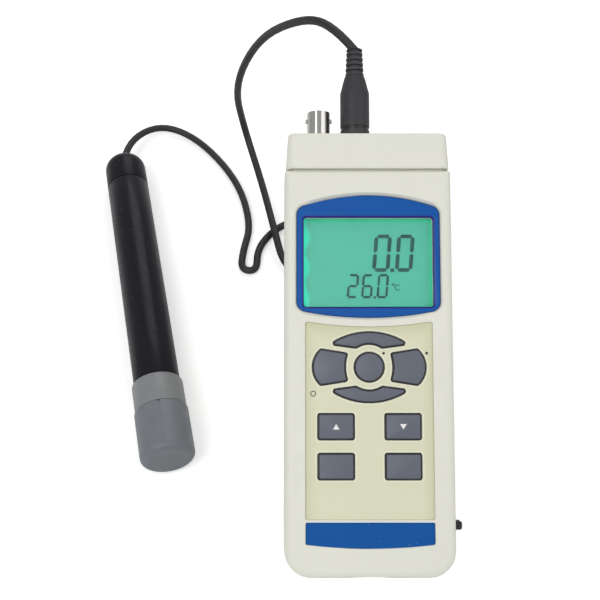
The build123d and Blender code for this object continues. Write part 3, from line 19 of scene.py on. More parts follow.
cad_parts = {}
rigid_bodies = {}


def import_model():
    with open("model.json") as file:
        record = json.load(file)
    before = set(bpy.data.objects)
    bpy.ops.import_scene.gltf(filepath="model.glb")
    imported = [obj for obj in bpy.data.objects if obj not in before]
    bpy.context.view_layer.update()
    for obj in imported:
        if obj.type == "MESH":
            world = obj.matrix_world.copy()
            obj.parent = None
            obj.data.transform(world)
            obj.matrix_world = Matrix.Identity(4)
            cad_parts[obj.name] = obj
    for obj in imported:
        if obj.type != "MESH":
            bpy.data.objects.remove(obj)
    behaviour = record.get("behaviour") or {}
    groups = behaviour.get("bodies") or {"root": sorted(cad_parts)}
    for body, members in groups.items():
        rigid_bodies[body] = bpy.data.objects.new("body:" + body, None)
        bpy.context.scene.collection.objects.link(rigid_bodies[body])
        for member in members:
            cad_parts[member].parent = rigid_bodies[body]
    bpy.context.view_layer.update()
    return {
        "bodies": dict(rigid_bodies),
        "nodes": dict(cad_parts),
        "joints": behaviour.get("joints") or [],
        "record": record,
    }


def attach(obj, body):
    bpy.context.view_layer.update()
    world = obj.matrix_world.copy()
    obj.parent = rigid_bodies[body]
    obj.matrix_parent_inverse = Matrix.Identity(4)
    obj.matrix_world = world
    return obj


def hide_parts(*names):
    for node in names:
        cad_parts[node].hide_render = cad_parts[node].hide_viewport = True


Point = Tuple[float, float]
Span = Tuple[float, float]
Place = Tuple[float, float, float]
Colour = Tuple[float, float, float, float]
Piece = bpy.types.Object
Node = bpy.types.Node
Socket = bpy.types.NodeSocket
Material = bpy.types.Material

LOG = logging.getLogger("data_logger")

MM = 0.001
FULL_TURN = 2 * math.pi
WHITE = (1.0, 1.0, 1.0, 1.0)

# Where the meter and the probe lie in the frame
TILT = math.radians(30.0)
HOME = Vector((48.96924, -102.99055, 0.00045)) * MM
METER_FOOT = Vector((0.0, 0.0, -1.830127)) * MM
PROBE_FOOT = Vector((-85.7, 40.5, 12.6172)) * MM
PROBE_YAW = math.radians(12.09)
PROBE_PITCH = math.radians(0.5863)
METER = Matrix.Translation(HOME + METER_FOOT) @ Matrix.Rotation(TILT, 4, "X")
PROBE = (
    Matrix.Translation(HOME + PROBE_FOOT)
    @ Matrix.Rotation(PROBE_YAW, 4, "Z")
    @ Matrix.Rotation(-PROBE_PITCH, 4, "X")
)
LATHE_TO_Y = Matrix.Rotation(math.radians(-90.0), 4, "X")

# Relief of the finest textures
GRAIN_DEPTH = 0.00004
PRINT_DEPTH = 0.00003

# Limits used in modelling
WELD_GAP = 2e-6
POLE_WELD = 1e-7
PARALLEL = 1e-12
SAME_PLACE = 1e-6
FLAT_ANGLE = math.radians(0.4)
SMOOTH_ANGLE = 32.0
CROWN_ANGLE = 50.0
END_FACE_CORNERS = 8
LEAST_SPREAD = 0.5
CORNER_CLEARANCE = 0.25
RING_STEPS = 20
RING_SLIT = 1e-3


def linear(red: int, green: int, blue: int) -> Colour:
    """Turn a colour, given 0 to 255, into the renderer's linear values.

    Args:
        red: Red as seen.
        green: Green as seen.
        blue: Blue as seen.

    Returns:
        Linear red, green, blue and full alpha.
    """
    def one(value: int) -> float:
        """Linear value of one channel."""
        share = value / 255.0
        return share / 12.92 if share <= 0.04045 else ((share + 0.055) / 1.055) ** 2.4
    return one(red), one(green), one(blue), 1.0


def shade(colour: Sequence[float], factor: float, lift: float = 0.0) -> Colour:
    """Lighten or darken a colour.

    Args:
        colour: Linear colour.
        factor: What each channel is multiplied by.
        lift: What is then added to each channel.

    Returns:
        The colour, kept within 0 and 1.
    """
    red, green, blue = (min(1.0, max(0.0, channel * factor + lift)) for channel in colour[:3])
    return red, green, blue, 1.0


class Body(Enum):
    """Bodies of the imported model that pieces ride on."""

    METER = "meter"
    STAND = "stand"
    PORT_FLAP = "port_flap"
    PROTECTIVE_CAP = "protective_cap"


class Direction(Enum):
    """Which way a printed arrow points."""

    UP = 1
    DOWN = -1


class Digit(Enum):
    """Strokes that a digit shows, lettered as on a seven-stroke display."""

    ZERO = "abcdef"
    TWO = "abged"
    SIX = "afgedc"


class NodeSheet:
    """Shorthand for adding and joining shader nodes in one tree."""

    def __init__(self, tree: bpy.types.NodeTree) -> None:
        """Keep the tree that nodes are added to.

        Args:
            tree: A material's or a group's node tree.
        """
        self.tree = tree

    def add(self, kind: str, values: Optional[Dict[object, object]] = None, **settings: object) -> Node:
        """Add a node.

        Args:
            kind: The node's type name.
            values: Input names or numbers with a value, or a socket to link from.
            **settings: Properties of the node itself.

        Returns:
            The new node.
        """
        node = self.tree.nodes.new(kind)
        for name, value in settings.items():
            setattr(node, name, value)
        for name, value in (values or {}).items():
            self.feed(value, node.inputs[name])
        return node

    def feed(self, value: object, target: Socket) -> None:
        """Link a socket to an input, or set a plain value on it.

        Args:
            value: A socket or a plain value.
            target: The input socket.
        """
        if isinstance(value, Socket):
            self.tree.links.new(value, target)
        else:
            target.default_value = value

    def coords(self) -> Socket:
        """Object coordinates of the piece, in metres."""
        return self.add("ShaderNodeTexCoord").outputs["Object"]

    def meter_coords(self) -> Socket:
        """Coordinates in the meter's own frame, in metres.

        Returns:
            The vector's socket.
        """
        mapping = self.add("ShaderNodeMapping", {"Vector": self.coords()}, vector_type="TEXTURE")
        mapping.inputs["Location"].default_value = METER.to_translation()
        mapping.inputs["Rotation"].default_value = (TILT, 0.0, 0.0)
        return mapping.outputs[0]

    def effect(
        self, group: bpy.types.NodeTree, vector: Socket, values: Optional[Dict[str, float]] = None
    ) -> Node:
        """Place a shared effect.

        Args:
            group: The effect's node group.
            vector: Coordinates that it reads.
            values: Inputs that differ from the group's own.

        Returns:
            The group's node.
        """
        node = self.add("ShaderNodeGroup", node_tree=group)
        for name, value in {"Vector": vector, **(values or {})}.items():
            self.feed(value, node.inputs[name])
        return node

    def noise(self, vector: Socket, scale: object, detail: float = 2.0, **more: float) -> Socket:
        """Add a noise texture.

        Args:
            vector: Coordinates that it reads.
            scale: Number or socket.
            detail: How many finer layers it has.
            **more: Roughness or Distortion, where it isn't the usual one.

        Returns:
            The noise value's socket.
        """
        values = {"Vector": vector, "Scale": scale, "Detail": detail, **more}
        return self.add("ShaderNodeTexNoise", values).outputs[0]

    def cells(self, vector: Socket, scale: Socket) -> Socket:
        """Distance to the nearest of scattered points."""
        values = {"Vector": vector, "Scale": scale}
        return self.add("ShaderNodeTexVoronoi", values, feature="F1").outputs["Distance"]

    def maths(self, operation: str, first: object, second: object = 0.0, clamp: bool = False) -> Socket:
        """Add a Math node.

        Args:
            operation: The operation's name.
            first: Number or socket.
            second: Number or socket.
            clamp: Whether the result is kept between 0 and 1.

        Returns:
            The result's socket.
        """
        node = self.add("ShaderNodeMath", {0: first, 1: second}, operation=operation, use_clamp=clamp)
        return node.outputs[0]

    def blend(self, share: object, first: object, second: object) -> Socket:
        """Add a colour Mix node.

        Args:
            share: How much of the second colour shows.
            first: Colour or socket.
            second: Colour or socket.

        Returns:
            The mixed colour's socket.
        """
        values = {0: share, 6: first, 7: second}
        return self.add("ShaderNodeMix", values, data_type="RGBA", blend_type="MIX").outputs[2]

    def ramp(self, value: Socket, low: object, high: float) -> Socket:
        """Spread a value from low..high to 0..1, clamped."""
        values = {"Value": value, "From Min": low, "From Max": high}
        return self.add("ShaderNodeMapRange", values, clamp=True).outputs[0]

    def bump(self, shader: Node, height: Socket, strength: float, depth: float) -> None:
        """Give a shader surface relief.

        Args:
            shader: The material's shader.
            height: Socket of the relief's height.
            strength: How strongly it shows.
            depth: Its real depth in metres.
        """
        relief = self.add("ShaderNodeBump", {"Strength": strength, "Distance": depth, "Height": height})
        self.feed(relief.outputs[0], shader.inputs["Normal"])


@dataclass
class EffectShelf:
    """Shader node groups that several materials share, and what shapes their masks."""

    pit_share: float = 0.35
    smear_top: float = 0.75
    smear_full: float = 0.8
    ridge: Span = (0.52, 0.6)
    worn_patch: Span = (0.35, 0.65)

    def __post_init__(self) -> None:
        """Make every group once."""
        self.grain = self._moulded_grain()
        self.handling = self._handling_marks()
        self.specks = self._dust_specks()
        self.rubbed = self._rubbed_edges()

    @staticmethod
    def _group(
        name: str, inputs: Dict[str, float], outputs: Sequence[str]
    ) -> Tuple[NodeSheet, Node, Node]:
        """Make an empty group that reads coordinates and numbers.

        Args:
            name: Name of the group.
            inputs: Name and default of each number that goes in.
            outputs: Name of each value that comes out.

        Returns:
            The group's sheet, its input node and its output node.
        """
        tree = bpy.data.node_groups.new(name, "ShaderNodeTree")
        tree.interface.new_socket("Vector", in_out="INPUT", socket_type="NodeSocketVector")
        for label, default in inputs.items():
            socket = tree.interface.new_socket(label, in_out="INPUT", socket_type="NodeSocketFloat")
            socket.default_value = default
        for label in outputs:
            tree.interface.new_socket(label, in_out="OUTPUT", socket_type="NodeSocketFloat")
        return NodeSheet(tree), tree.nodes.new("NodeGroupInput"), tree.nodes.new("NodeGroupOutput")

    def _moulded_grain(self) -> bpy.types.NodeTree:
        """Fine spark-eroded grain of a moulded surface, with slow cloudy unevenness.

        Returns:
            The node group.
        """
        sheet, source, target = self._group(
            "moulded_grain", {"Grain Scale": 2600.0, "Cloud Scale": 45.0}, ["Height", "Cloud"]
        )
        vector, scale = source.outputs["Vector"], source.outputs["Grain Scale"]
        fine = sheet.noise(vector, scale, detail=3.0, Roughness=0.6)
        pits = sheet.maths("MULTIPLY", sheet.cells(vector, scale), self.pit_share)
        sheet.feed(sheet.maths("ADD", fine, pits), target.inputs["Height"])
        sheet.feed(sheet.noise(vector, source.outputs["Cloud Scale"]), target.inputs["Cloud"])
        return sheet.tree

    def _handling_marks(self) -> bpy.types.NodeTree:
        """Faint smudges from handling, as a mask.

        Returns:
            The node group.
        """
        sheet, source, target = self._group("handling_marks", {"Scale": 60.0, "Cover": 0.35}, ["Mask"])
        smears = sheet.noise(source.outputs["Vector"], source.outputs["Scale"], detail=4.0, Distortion=0.8)
        low = sheet.maths("SUBTRACT", self.smear_top, source.outputs["Cover"])
        sheet.feed(sheet.ramp(smears, low, self.smear_full), target.inputs["Mask"])
        return sheet.tree

    def _dust_specks(self) -> bpy.types.NodeTree:
        """Tiny scattered specks, as a mask.

        Returns:
            The node group.
        """
        sheet, source, target = self._group("dust_specks", {"Scale": 260.0, "Size": 0.06}, ["Mask"])
        distance = sheet.cells(source.outputs["Vector"], source.outputs["Scale"])
        sheet.feed(sheet.maths("LESS_THAN", distance, source.outputs["Size"]), target.inputs["Mask"])
        return sheet.tree

    def _rubbed_edges(self) -> bpy.types.NodeTree:
        """Lighter rubbed places where the surface is convex, as a mask.

        Returns:
            The node group.
        """
        sheet, source, target = self._group("rubbed_edges", {"Scale": 180.0, "Amount": 0.5}, ["Mask"])
        shape = sheet.add("ShaderNodeNewGeometry")
        ridge = sheet.ramp(shape.outputs["Pointiness"], *self.ridge)
        cloud = sheet.noise(source.outputs["Vector"], source.outputs["Scale"], detail=3.0)
        patches = sheet.ramp(cloud, *self.worn_patch)
        worn = sheet.maths("MULTIPLY", ridge, patches)
        sheet.feed(sheet.maths("MULTIPLY", worn, source.outputs["Amount"]), target.inputs["Mask"])
        return sheet.tree


def new_material(name: str, values: Dict[str, object]) -> Tuple[Material, NodeSheet, Node]:
    """Make an empty node material with its shader and output.

    Args:
        name: The material's name.
        values: What stands on the shader's own sockets.

    Returns:
        The material, its node sheet and its shader node.
    """
    material = bpy.data.materials.new(name)
    material.use_nodes = True
    material.node_tree.nodes.clear()
    sheet = NodeSheet(material.node_tree)
    shader = sheet.add("ShaderNodeBsdfPrincipled", values)
    sheet.add("ShaderNodeOutputMaterial", {"Surface": shader.outputs[0]})
    return material, sheet, shader


@dataclass(frozen=True)
class Finish:
    """A plain surface finish: its colour, gloss and grain, and the traces of use on it."""

    name: str
    colour: Colour
    roughness: float = 0.5
    metallic: float = 0.0
    grain: float = 0.0
    cloud: float = 0.05
    marks: float = 0.05
    specks: float = 0.0
    rub: float = 0.0
    coat: float = 0.0
    specular: float = 0.5
    coat_roughness: float = 0.08
    dust_colour: Colour = (0.6, 0.58, 0.55, 1.0)
    rub_factor: float = 1.6
    rub_lift: float = 0.04

    def make(self, effects: EffectShelf) -> Material:
        """Build the material.

        Args:
            effects: The shared node groups.

        Returns:
            The new material.
        """
        material, sheet, shader = new_material(self.name, {
            "Metallic": self.metallic, "Coat Weight": self.coat, "Coat Roughness": self.coat_roughness,
            "Specular IOR Level": self.specular,
        })
        coords = sheet.coords()
        grain = sheet.effect(effects.grain, coords)
        smudge = sheet.effect(effects.handling, coords)
        dark, light = shade(self.colour, 1.0 - self.cloud), shade(self.colour, 1.0 + self.cloud)
        base = sheet.blend(grain.outputs["Cloud"], dark, light)
        if self.specks:
            dust = sheet.effect(effects.specks, coords)
            share = sheet.maths("MULTIPLY", dust.outputs["Mask"], self.specks)
            base = sheet.blend(share, base, self.dust_colour)
        if self.rub:
            rub = sheet.effect(effects.rubbed, coords, {"Amount": self.rub})
            base = sheet.blend(rub.outputs["Mask"], base, shade(self.colour, self.rub_factor, self.rub_lift))
        sheet.feed(base, shader.inputs["Base Color"])
        marks = sheet.maths("MULTIPLY", smudge.outputs["Mask"], self.marks)
        sheet.feed(sheet.maths("ADD", self.roughness, marks, clamp=True), shader.inputs["Roughness"])
        if self.grain:
            sheet.bump(shader, grain.outputs["Height"], self.grain, GRAIN_DEPTH)
        return material


@dataclass(frozen=True)
class FaceplatePrint:
    """Printed cream sheet, with painted shade making it a little darker and greener towards its sides and
    top, in millimetres.
    """

    name: str = "faceplate_print"
    side_from: float = 20.5
    side_to: float = 25.2
    top_from: float = 92.5
    top_to: float = 98.5
    recess_shade_share: float = 0.7
    grain: float = 0.25
    roughness: float = 0.5
    cream: Colour = linear(220, 220, 192)
    light_cream: Colour = linear(226, 226, 198)
    recess_shade_cream: Colour = linear(206, 206, 168)

    def make(self, effects: EffectShelf) -> Material:
        """Build the material.

        Args:
            effects: The shared node groups.

        Returns:
            The new material.
        """
        material, sheet, shader = new_material(self.name, {"Roughness": self.roughness})
        local = sheet.meter_coords()
        across, up, _ = sheet.add("ShaderNodeSeparateXYZ", {0: local}).outputs
        # Painted shade: the cream darkens and turns greener towards the sides and top, by the recess walls.
        side = sheet.ramp(sheet.maths("ABSOLUTE", across), self.side_from * MM, self.side_to * MM)
        top = sheet.ramp(up, self.top_from * MM, self.top_to * MM)
        edge = sheet.maths("MULTIPLY", sheet.maths("MAXIMUM", side, top, clamp=True), self.recess_shade_share)
        grain = sheet.effect(effects.grain, local)
        field = sheet.blend(grain.outputs["Cloud"], self.cream, self.light_cream)
        sheet.feed(sheet.blend(edge, field, self.recess_shade_cream), shader.inputs["Base Color"])
        sheet.bump(shader, grain.outputs["Height"], self.grain, PRINT_DEPTH)
        return material


@dataclass(frozen=True)
class LitDisplay:
    """Back-lit display glass: even green, with mint light leaking in at its edges, in millimetres."""

    name: str = "display_lit"
    half_width: float = 25.8
    low: float = 106.2
    high: float = 142.0
    lamp_start: float = 106.5
    lamp_pitch: float = 12.5
    lamp_reach: float = 2.2
    lamp_swing: float = 0.9
    right_reach: float = 1.6
    top_reach: float = 2.2
    foot_reach: float = 1.2
    rim_share: float = 0.75
    cloud_scale: float = 70.0
    glow: float = 0.06
    roughness: float = 0.35
    green: Colour = linear(72, 164, 144)
    light_green: Colour = linear(66, 170, 146)
    rim_green: Colour = linear(24, 200, 146)
    lamp_mint: Colour = linear(38, 250, 214)

    @staticmethod
    def _leak(sheet: NodeSheet, distance: Socket, reach: object) -> Socket:
        """Light that is full at an edge and gone at its reach."""
        return sheet.maths("SUBTRACT", 1.0, sheet.maths("DIVIDE", distance, reach), clamp=True)

    def _lamp_leak(self, sheet: NodeSheet, across: Socket, up: Socket) -> Socket:
        """Light from the row of lamps along the left edge, in even waves.

        Args:
            sheet: The material's node sheet.
            across: Place across the meter.
            up: Place along the meter.

        Returns:
            Socket of the light's share.
        """
        from_lamp = sheet.maths("SUBTRACT", up, self.lamp_start * MM)
        wave = sheet.maths("SINE", sheet.maths("MULTIPLY", from_lamp, FULL_TURN / (self.lamp_pitch * MM)))
        swing = sheet.maths("MULTIPLY", wave, self.lamp_swing * MM)
        reach = sheet.maths("ADD", self.lamp_reach * MM, swing)
        return self._leak(sheet, sheet.maths("ADD", across, self.half_width * MM), reach)

    def make(self, effects: EffectShelf) -> Material:
        """Build the material.

        Args:
            effects: The shared node groups, none of which it needs.

        Returns:
            The new material.
        """
        material, sheet, shader = new_material(
            self.name, {"Roughness": self.roughness, "Emission Strength": self.glow}
        )
        local = sheet.meter_coords()
        across, up, _ = sheet.add("ShaderNodeSeparateXYZ", {0: local}).outputs
        from_right = sheet.maths("SUBTRACT", self.half_width * MM, across)
        right = self._leak(sheet, from_right, self.right_reach * MM)
        top = self._leak(sheet, sheet.maths("SUBTRACT", self.high * MM, up), self.top_reach * MM)
        foot = self._leak(sheet, sheet.maths("SUBTRACT", up, self.low * MM), self.foot_reach * MM)
        cloud = sheet.noise(local, self.cloud_scale, detail=1.0)
        field = sheet.blend(cloud, self.green, self.light_green)
        rim = sheet.maths("MAXIMUM", sheet.maths("MAXIMUM", top, right), foot, clamp=True)
        edged = sheet.blend(sheet.maths("MULTIPLY", rim, self.rim_share), field, self.rim_green)
        lit = sheet.blend(self._lamp_leak(sheet, across, up), edged, self.lamp_mint)
        sheet.feed(lit, shader.inputs["Base Color"])
        sheet.feed(lit, shader.inputs["Emission Color"])
        return material


@dataclass(frozen=True)
class MilkyGuide:
    """Milky light guide behind the glass."""

    name: str = "backlight_mint"
    cloud_scale: float = 90.0
    roughness: float = 0.55
    mint: Colour = linear(150, 235, 215)
    pale_mint: Colour = linear(175, 245, 228)

    def make(self, effects: EffectShelf) -> Material:
        """Build the material.

        Args:
            effects: The shared node groups, none of which it needs.

        Returns:
            The new material.
        """
        material, sheet, shader = new_material(self.name, {"Roughness": self.roughness})
        cloud = sheet.noise(sheet.coords(), self.cloud_scale)
        sheet.feed(sheet.blend(cloud, self.mint, self.pale_mint), shader.inputs["Base Color"])
        return material


@dataclass(frozen=True)
class ClearWindow:
    """Clear window plate with the faintest smudges."""

    name: str = "window_clear"
    tint: Colour = (0.97, 1.0, 0.99, 1.0)
    bending: float = 1.1
    smudges: float = 0.06

    def make(self, effects: EffectShelf) -> Material:
        """Build the material.

        Args:
            effects: The shared node groups.

        Returns:
            The new material.
        """
        material, sheet, shader = new_material(
            self.name, {"Base Color": self.tint, "Transmission Weight": 1.0, "IOR": self.bending}
        )
        smudge = sheet.effect(effects.handling, sheet.coords())
        rough = sheet.maths("MULTIPLY", smudge.outputs["Mask"], self.smudges)
        sheet.feed(rough, shader.inputs["Roughness"])
        return material


@dataclass(frozen=True)
class BoardMask:
    """Green solder mask with faint tracks."""

    name: str = "board_mask"
    track_scale: float = 180.0
    wander: float = 1.5
    track_edge: Span = (0.55, 0.6)
    relief: float = 0.3
    roughness: float = 0.3
    mask: Colour = linear(14, 74, 40)
    track: Colour = linear(26, 104, 56)

    def make(self, effects: EffectShelf) -> Material:
        """Build the material.

        Args:
            effects: The shared node groups, none of which it needs.

        Returns:
            The new material.
        """
        material, sheet, shader = new_material(self.name, {"Roughness": self.roughness})
        values = {"Vector": sheet.meter_coords(), "Scale": self.track_scale, "Distortion": self.wander}
        wave = sheet.add("ShaderNodeTexWave", values, wave_type="BANDS")
        tracks = sheet.ramp(wave.outputs["Fac"], *self.track_edge)
        sheet.feed(sheet.blend(tracks, self.mask, self.track), shader.inputs["Base Color"])
        sheet.bump(shader, tracks, self.relief, PRINT_DEPTH)
        return material


@dataclass(frozen=True)
class LeadJacket:
    """Extruded jacket of the lead: charcoal with a fine grain and slight dust."""

    name: str = "lead_jacket"
    grain_scale: float = 1500.0
    cloud_scale: float = 60.0
    grain: float = 0.4
    dust: float = 0.35
    roughness: float = 0.48
    charcoal: Colour = linear(28, 29, 31)
    light_charcoal: Colour = linear(40, 41, 43)
    dust_colour: Colour = linear(120, 120, 122)

    def make(self, effects: EffectShelf) -> Material:
        """Build the material.

        Args:
            effects: The shared node groups.

        Returns:
            The new material.
        """
        material, sheet, shader = new_material(self.name, {"Roughness": self.roughness})
        coords = sheet.coords()
        scales = {"Grain Scale": self.grain_scale, "Cloud Scale": self.cloud_scale}
        grain = sheet.effect(effects.grain, coords, scales)
        base = sheet.blend(grain.outputs["Cloud"], self.charcoal, self.light_charcoal)
        specks = sheet.effect(effects.specks, coords)
        share = sheet.maths("MULTIPLY", specks.outputs["Mask"], self.dust)
        sheet.feed(sheet.blend(share, base, self.dust_colour), shader.inputs["Base Color"])
        sheet.bump(shader, grain.outputs["Height"], self.grain, GRAIN_DEPTH)
        return material


HOUSING_FINISHES = (
    Finish(
        "housing_ivory", linear(229, 229, 217), 0.46, grain=0.35, cloud=0.025, marks=0.1, rub=0.25,
        specks=0.25,
    ),
    Finish("window_frame_blue", linear(0, 84, 166), 0.38, grain=0.1, cloud=0.08, marks=0.12, specular=0.25),
    # A darker copy of the frame blue: painted shade on the bezel's sloped inner edge and opening walls.
    Finish("window_bevel_navy", linear(2, 12, 118), 0.35, grain=0.1, cloud=0.1),
    Finish(
        "strip_blue_print", linear(0, 84, 160), specular=0.2, grain=0.25, cloud=0.06, marks=0.1, specks=0.2,
    ),
    Finish("soft_black", linear(34, 34, 36), 0.62, grain=0.5, cloud=0.12, marks=0.1, specks=0.35),
    Finish("digit_green", linear(8, 74, 66), 0.35, cloud=0.12),
)
KEYPAD_FINISHES = (
    Finish("key_slate", linear(97, 102, 114), 0.42, grain=0.3, marks=0.15, rub=0.3),
    Finish("key_rim_black", linear(36, 36, 44), 0.45, grain=0.3, cloud=0.1),
    Finish("print_black", linear(44, 44, 46), 0.55, cloud=0.1),
    Finish("print_white", linear(240, 240, 238), 0.55, cloud=0.03),
    Finish("print_halo", linear(236, 236, 208), grain=0.2, cloud=0.03),
    Finish("mat_silicone", linear(150, 150, 150), 0.65, grain=0.2),
)
INNER_FINISHES = (
    Finish("chip_moulding", linear(34, 34, 36), grain=0.5, specks=0.2),
    Finish("plated_steel", linear(190, 190, 192), 0.32, 1.0, grain=0.15, cloud=0.08, marks=0.15, rub=0.3),
    Finish("cell_wrap", linear(48, 50, 58), 0.3, cloud=0.1, coat=0.3),
    Finish("holder_white", linear(225, 226, 222), grain=0.1, cloud=0.03),
)
SOCKET_AND_PLUG_FINISHES = (
    Finish("polished_nickel", linear(205, 203, 198), 0.13, 1.0, marks=0.1, grain=0.05),
    Finish("contact_gold", linear(225, 186, 96), 0.2, 1.0, cloud=0.06),
    Finish("insulator_white", linear(232, 232, 228), cloud=0.03, grain=0.1),
    Finish("socket_black", linear(30, 30, 33), 0.4, grain=0.3, cloud=0.1),
    Finish(
        "plug_charcoal", linear(54, 55, 58), 0.48, specular=0.35, grain=0.45, cloud=0.08, marks=0.12, rub=0.5,
        specks=0.3,
    ),
    Finish("plug_band_dark", linear(30, 30, 34), 0.35, grain=0.2, cloud=0.1),
    Finish("tie_black", linear(40, 40, 42), grain=0.2, cloud=0.1),
)
PROBE_FINISHES = (
    # Black plastic, whose blue tint is a painted blue-violet sheen rather than the plastic's own colour.
    Finish(
        "probe_black", linear(18, 18, 28), 0.3, grain=0.06, cloud=0.15, marks=0.14, coat=0.06, specks=0.2,
        specular=0.22,
    ),
    Finish("probe_collar_pale", linear(130, 133, 134), 0.34, grain=0.3, cloud=0.04, marks=0.1, rub=0.2),
    Finish("probe_cap_grey", linear(112, 116, 122), 0.42, grain=0.4, cloud=0.07, marks=0.15, rub=0.4),
    Finish("sensor_grey", linear(120, 121, 124), 0.35, grain=0.15, cloud=0.06),
)
SPECIAL_FINISHES = (FaceplatePrint(), LitDisplay(), MilkyGuide(), ClearWindow(), BoardMask(), LeadJacket())


class Palette:
    """Every material of the product, built once."""

    def __init__(self, effects: EffectShelf) -> None:
        """Make all finishes.

        Args:
            effects: The shared node groups.
        """
        self.shelf: Dict[str, Material] = {}
        for finish in (
            *HOUSING_FINISHES, *KEYPAD_FINISHES, *INNER_FINISHES, *SOCKET_AND_PLUG_FINISHES, *PROBE_FINISHES,
            *SPECIAL_FINISHES,
        ):
            self.shelf[finish.name] = finish.make(effects)

    def __getitem__(self, name: str) -> Material:
        """Material by name."""
        return self.shelf[name]


def around(centre: Point, radius: float, angle: float) -> Point:
    """Point on a circle, by its angle in radians."""
    return centre[0] + radius * math.cos(angle), centre[1] + radius * math.sin(angle)


def circle(centre: Point, radius: float, step: int) -> List[Point]:
    """Points round a circle, one every so many degrees."""
    return [around(centre, radius, math.radians(angle)) for angle in range(0, 360, step)]


def line(first: Point, last: Point, spans: int = 12) -> List[Point]:
    """Evenly spaced points from one point to another.

    Args:
        first: Where they start.
        last: Where they end.
        spans: How many equal parts lie between.

    Returns:
        The points, both ends among them.
    """
    return [
        (first[0] + (last[0] - first[0]) * i / spans, first[1] + (last[1] - first[1]) * i / spans)
        for i in range(spans + 1)
    ]


def arc(first: Point, middle: Point, last: Point, steps: int) -> List[Point]:
    """Points on the arc through three points.

    Args:
        first: Start.
        middle: Any point between.
        last: End.
        steps: How many spans the arc has.

    Returns:
        The points.
    """
    (ax, ay), (bx, by), (cx, cy) = first, middle, last
    d = 2 * (ax * (by - cy) + bx * (cy - ay) + cx * (ay - by))
    aa, bb, cc = ax * ax + ay * ay, bx * bx + by * by, cx * cx + cy * cy
    ux = (aa * (by - cy) + bb * (cy - ay) + cc * (ay - by)) / d
    uy = (aa * (cx - bx) + bb * (ax - cx) + cc * (bx - ax)) / d
    radius = math.hypot(ax - ux, ay - uy)
    start = math.atan2(ay - uy, ax - ux)
    through = (math.atan2(by - uy, bx - ux) - start) % FULL_TURN
    end = (math.atan2(cy - uy, cx - ux) - start) % FULL_TURN
    if through > end:
        end -= FULL_TURN
    return [around((ux, uy), radius, start + end * i / steps) for i in range(steps + 1)]


def drawn_in(outline: Sequence[Point], inset: float) -> List[Point]:
    """Move every point of a counter-clockwise outline inwards, square to its neighbours.

    Args:
        outline: The points.
        inset: How far they move.

    Returns:
        The moved points, in the same order.
    """
    moved = []
    count = len(outline)
    for index, (x, y) in enumerate(outline):
        ax, ay = outline[index - 1]
        bx, by = outline[(index + 1) % count]
        one, two = Vector((x - ax, y - ay)), Vector((bx - x, by - y))
        one.normalize()
        two.normalize()
        inward = Vector((-one.y - two.y, one.x + two.x))
        spread = inward.length / 2
        inward.normalize()
        step = inset / max(spread, LEAST_SPREAD)
        moved.append((x + inward.x * step, y + inward.y * step))
    return moved


def nearest(place: Point, before: Sequence[Point], after: Sequence[Point]) -> Point:
    """Find the partner of the point that lies nearest to a place.

    Args:
        place: Where to look.
        before: Outline that is searched.
        after: Outline that the point is taken from.

    Returns:
        The point of the second outline.
    """
    x, y = place
    index = min(range(len(before)), key=lambda i: (before[i][0] - x) ** 2 + (before[i][1] - y) ** 2)
    return after[index]


def crossing(first: Sequence[Point], second: Sequence[Point]) -> Tuple[float, float, Point]:
    """Find where two point chains cross.

    Args:
        first: Chain searched from its end.
        second: Chain searched from its start.

    Returns:
        Place along each chain, in points from its start, and the crossing point.
    """
    for i in range(len(first) - 2, -1, -1):
        (ax, ay), (bx, by) = first[i], first[i + 1]
        for j in range(len(second) - 1):
            (cx, cy), (dx, dy) = second[j], second[j + 1]
            rx, ry, sx, sy = bx - ax, by - ay, dx - cx, dy - cy
            cross = rx * sy - ry * sx
            if abs(cross) < PARALLEL:
                continue
            t = ((cx - ax) * sy - (cy - ay) * sx) / cross
            u = ((cx - ax) * ry - (cy - ay) * rx) / cross
            if 0.0 <= t <= 1.0 and 0.0 <= u <= 1.0:
                return i + t, j + u, (ax + rx * t, ay + ry * t)
    raise ValueError("the two chains do not cross")


def shifted(chain: Sequence[Point], step: float) -> List[Point]:
    """Chain of points moved to its left by a step.

    Args:
        chain: The points, in order.
        step: How far they move.

    Returns:
        The moved points.
    """
    moved = []
    for index, (x, y) in enumerate(chain):
        ax, ay = chain[max(index - 1, 0)]
        bx, by = chain[min(index + 1, len(chain) - 1)]
        span = math.hypot(bx - ax, by - ay)
        moved.append((x - (by - ay) / span * step, y + (bx - ax) / span * step))
    return moved


def along(chain: Sequence[Point], place: float) -> Vector:
    """Point at a fractional place along a chain."""
    index = min(int(place), len(chain) - 2)
    return Vector(chain[index]).lerp(Vector(chain[index + 1]), place - index)


def rounded(chains: Sequence[Sequence[Point]], radius: float, steps: int = 6) -> List[Point]:
    """Join chains into one closed outline, with a tangent arc where two meet.

    Args:
        chains: Runs of points, counter-clockwise, each starting where the one before ends.
        radius: Radius of every corner.
        steps: Spans of each corner's arc.

    Returns:
        The outline's points.
    """
    inner = [shifted(chain, radius) for chain in chains]
    count = len(chains)
    joints = [crossing(inner[i], inner[(i + 1) % count]) for i in range(count)]
    outline: List[Point] = []
    for index, chain in enumerate(chains):
        start, end = joints[index - 1][1] + CORNER_CLEARANCE, joints[index][0] - CORNER_CLEARANCE
        outline += [point for place, point in enumerate(chain) if start < place < end]
        centre = Vector(joints[index][2])
        leave = along(chain, joints[index][0]) - centre
        arrive = along(chains[(index + 1) % count], joints[index][1]) - centre
        begin = math.atan2(leave.y, leave.x)
        sweep = (math.atan2(arrive.y, arrive.x) - begin) % FULL_TURN
        outline += [around((centre.x, centre.y), radius, begin + sweep * i / steps) for i in range(steps + 1)]
    return outline


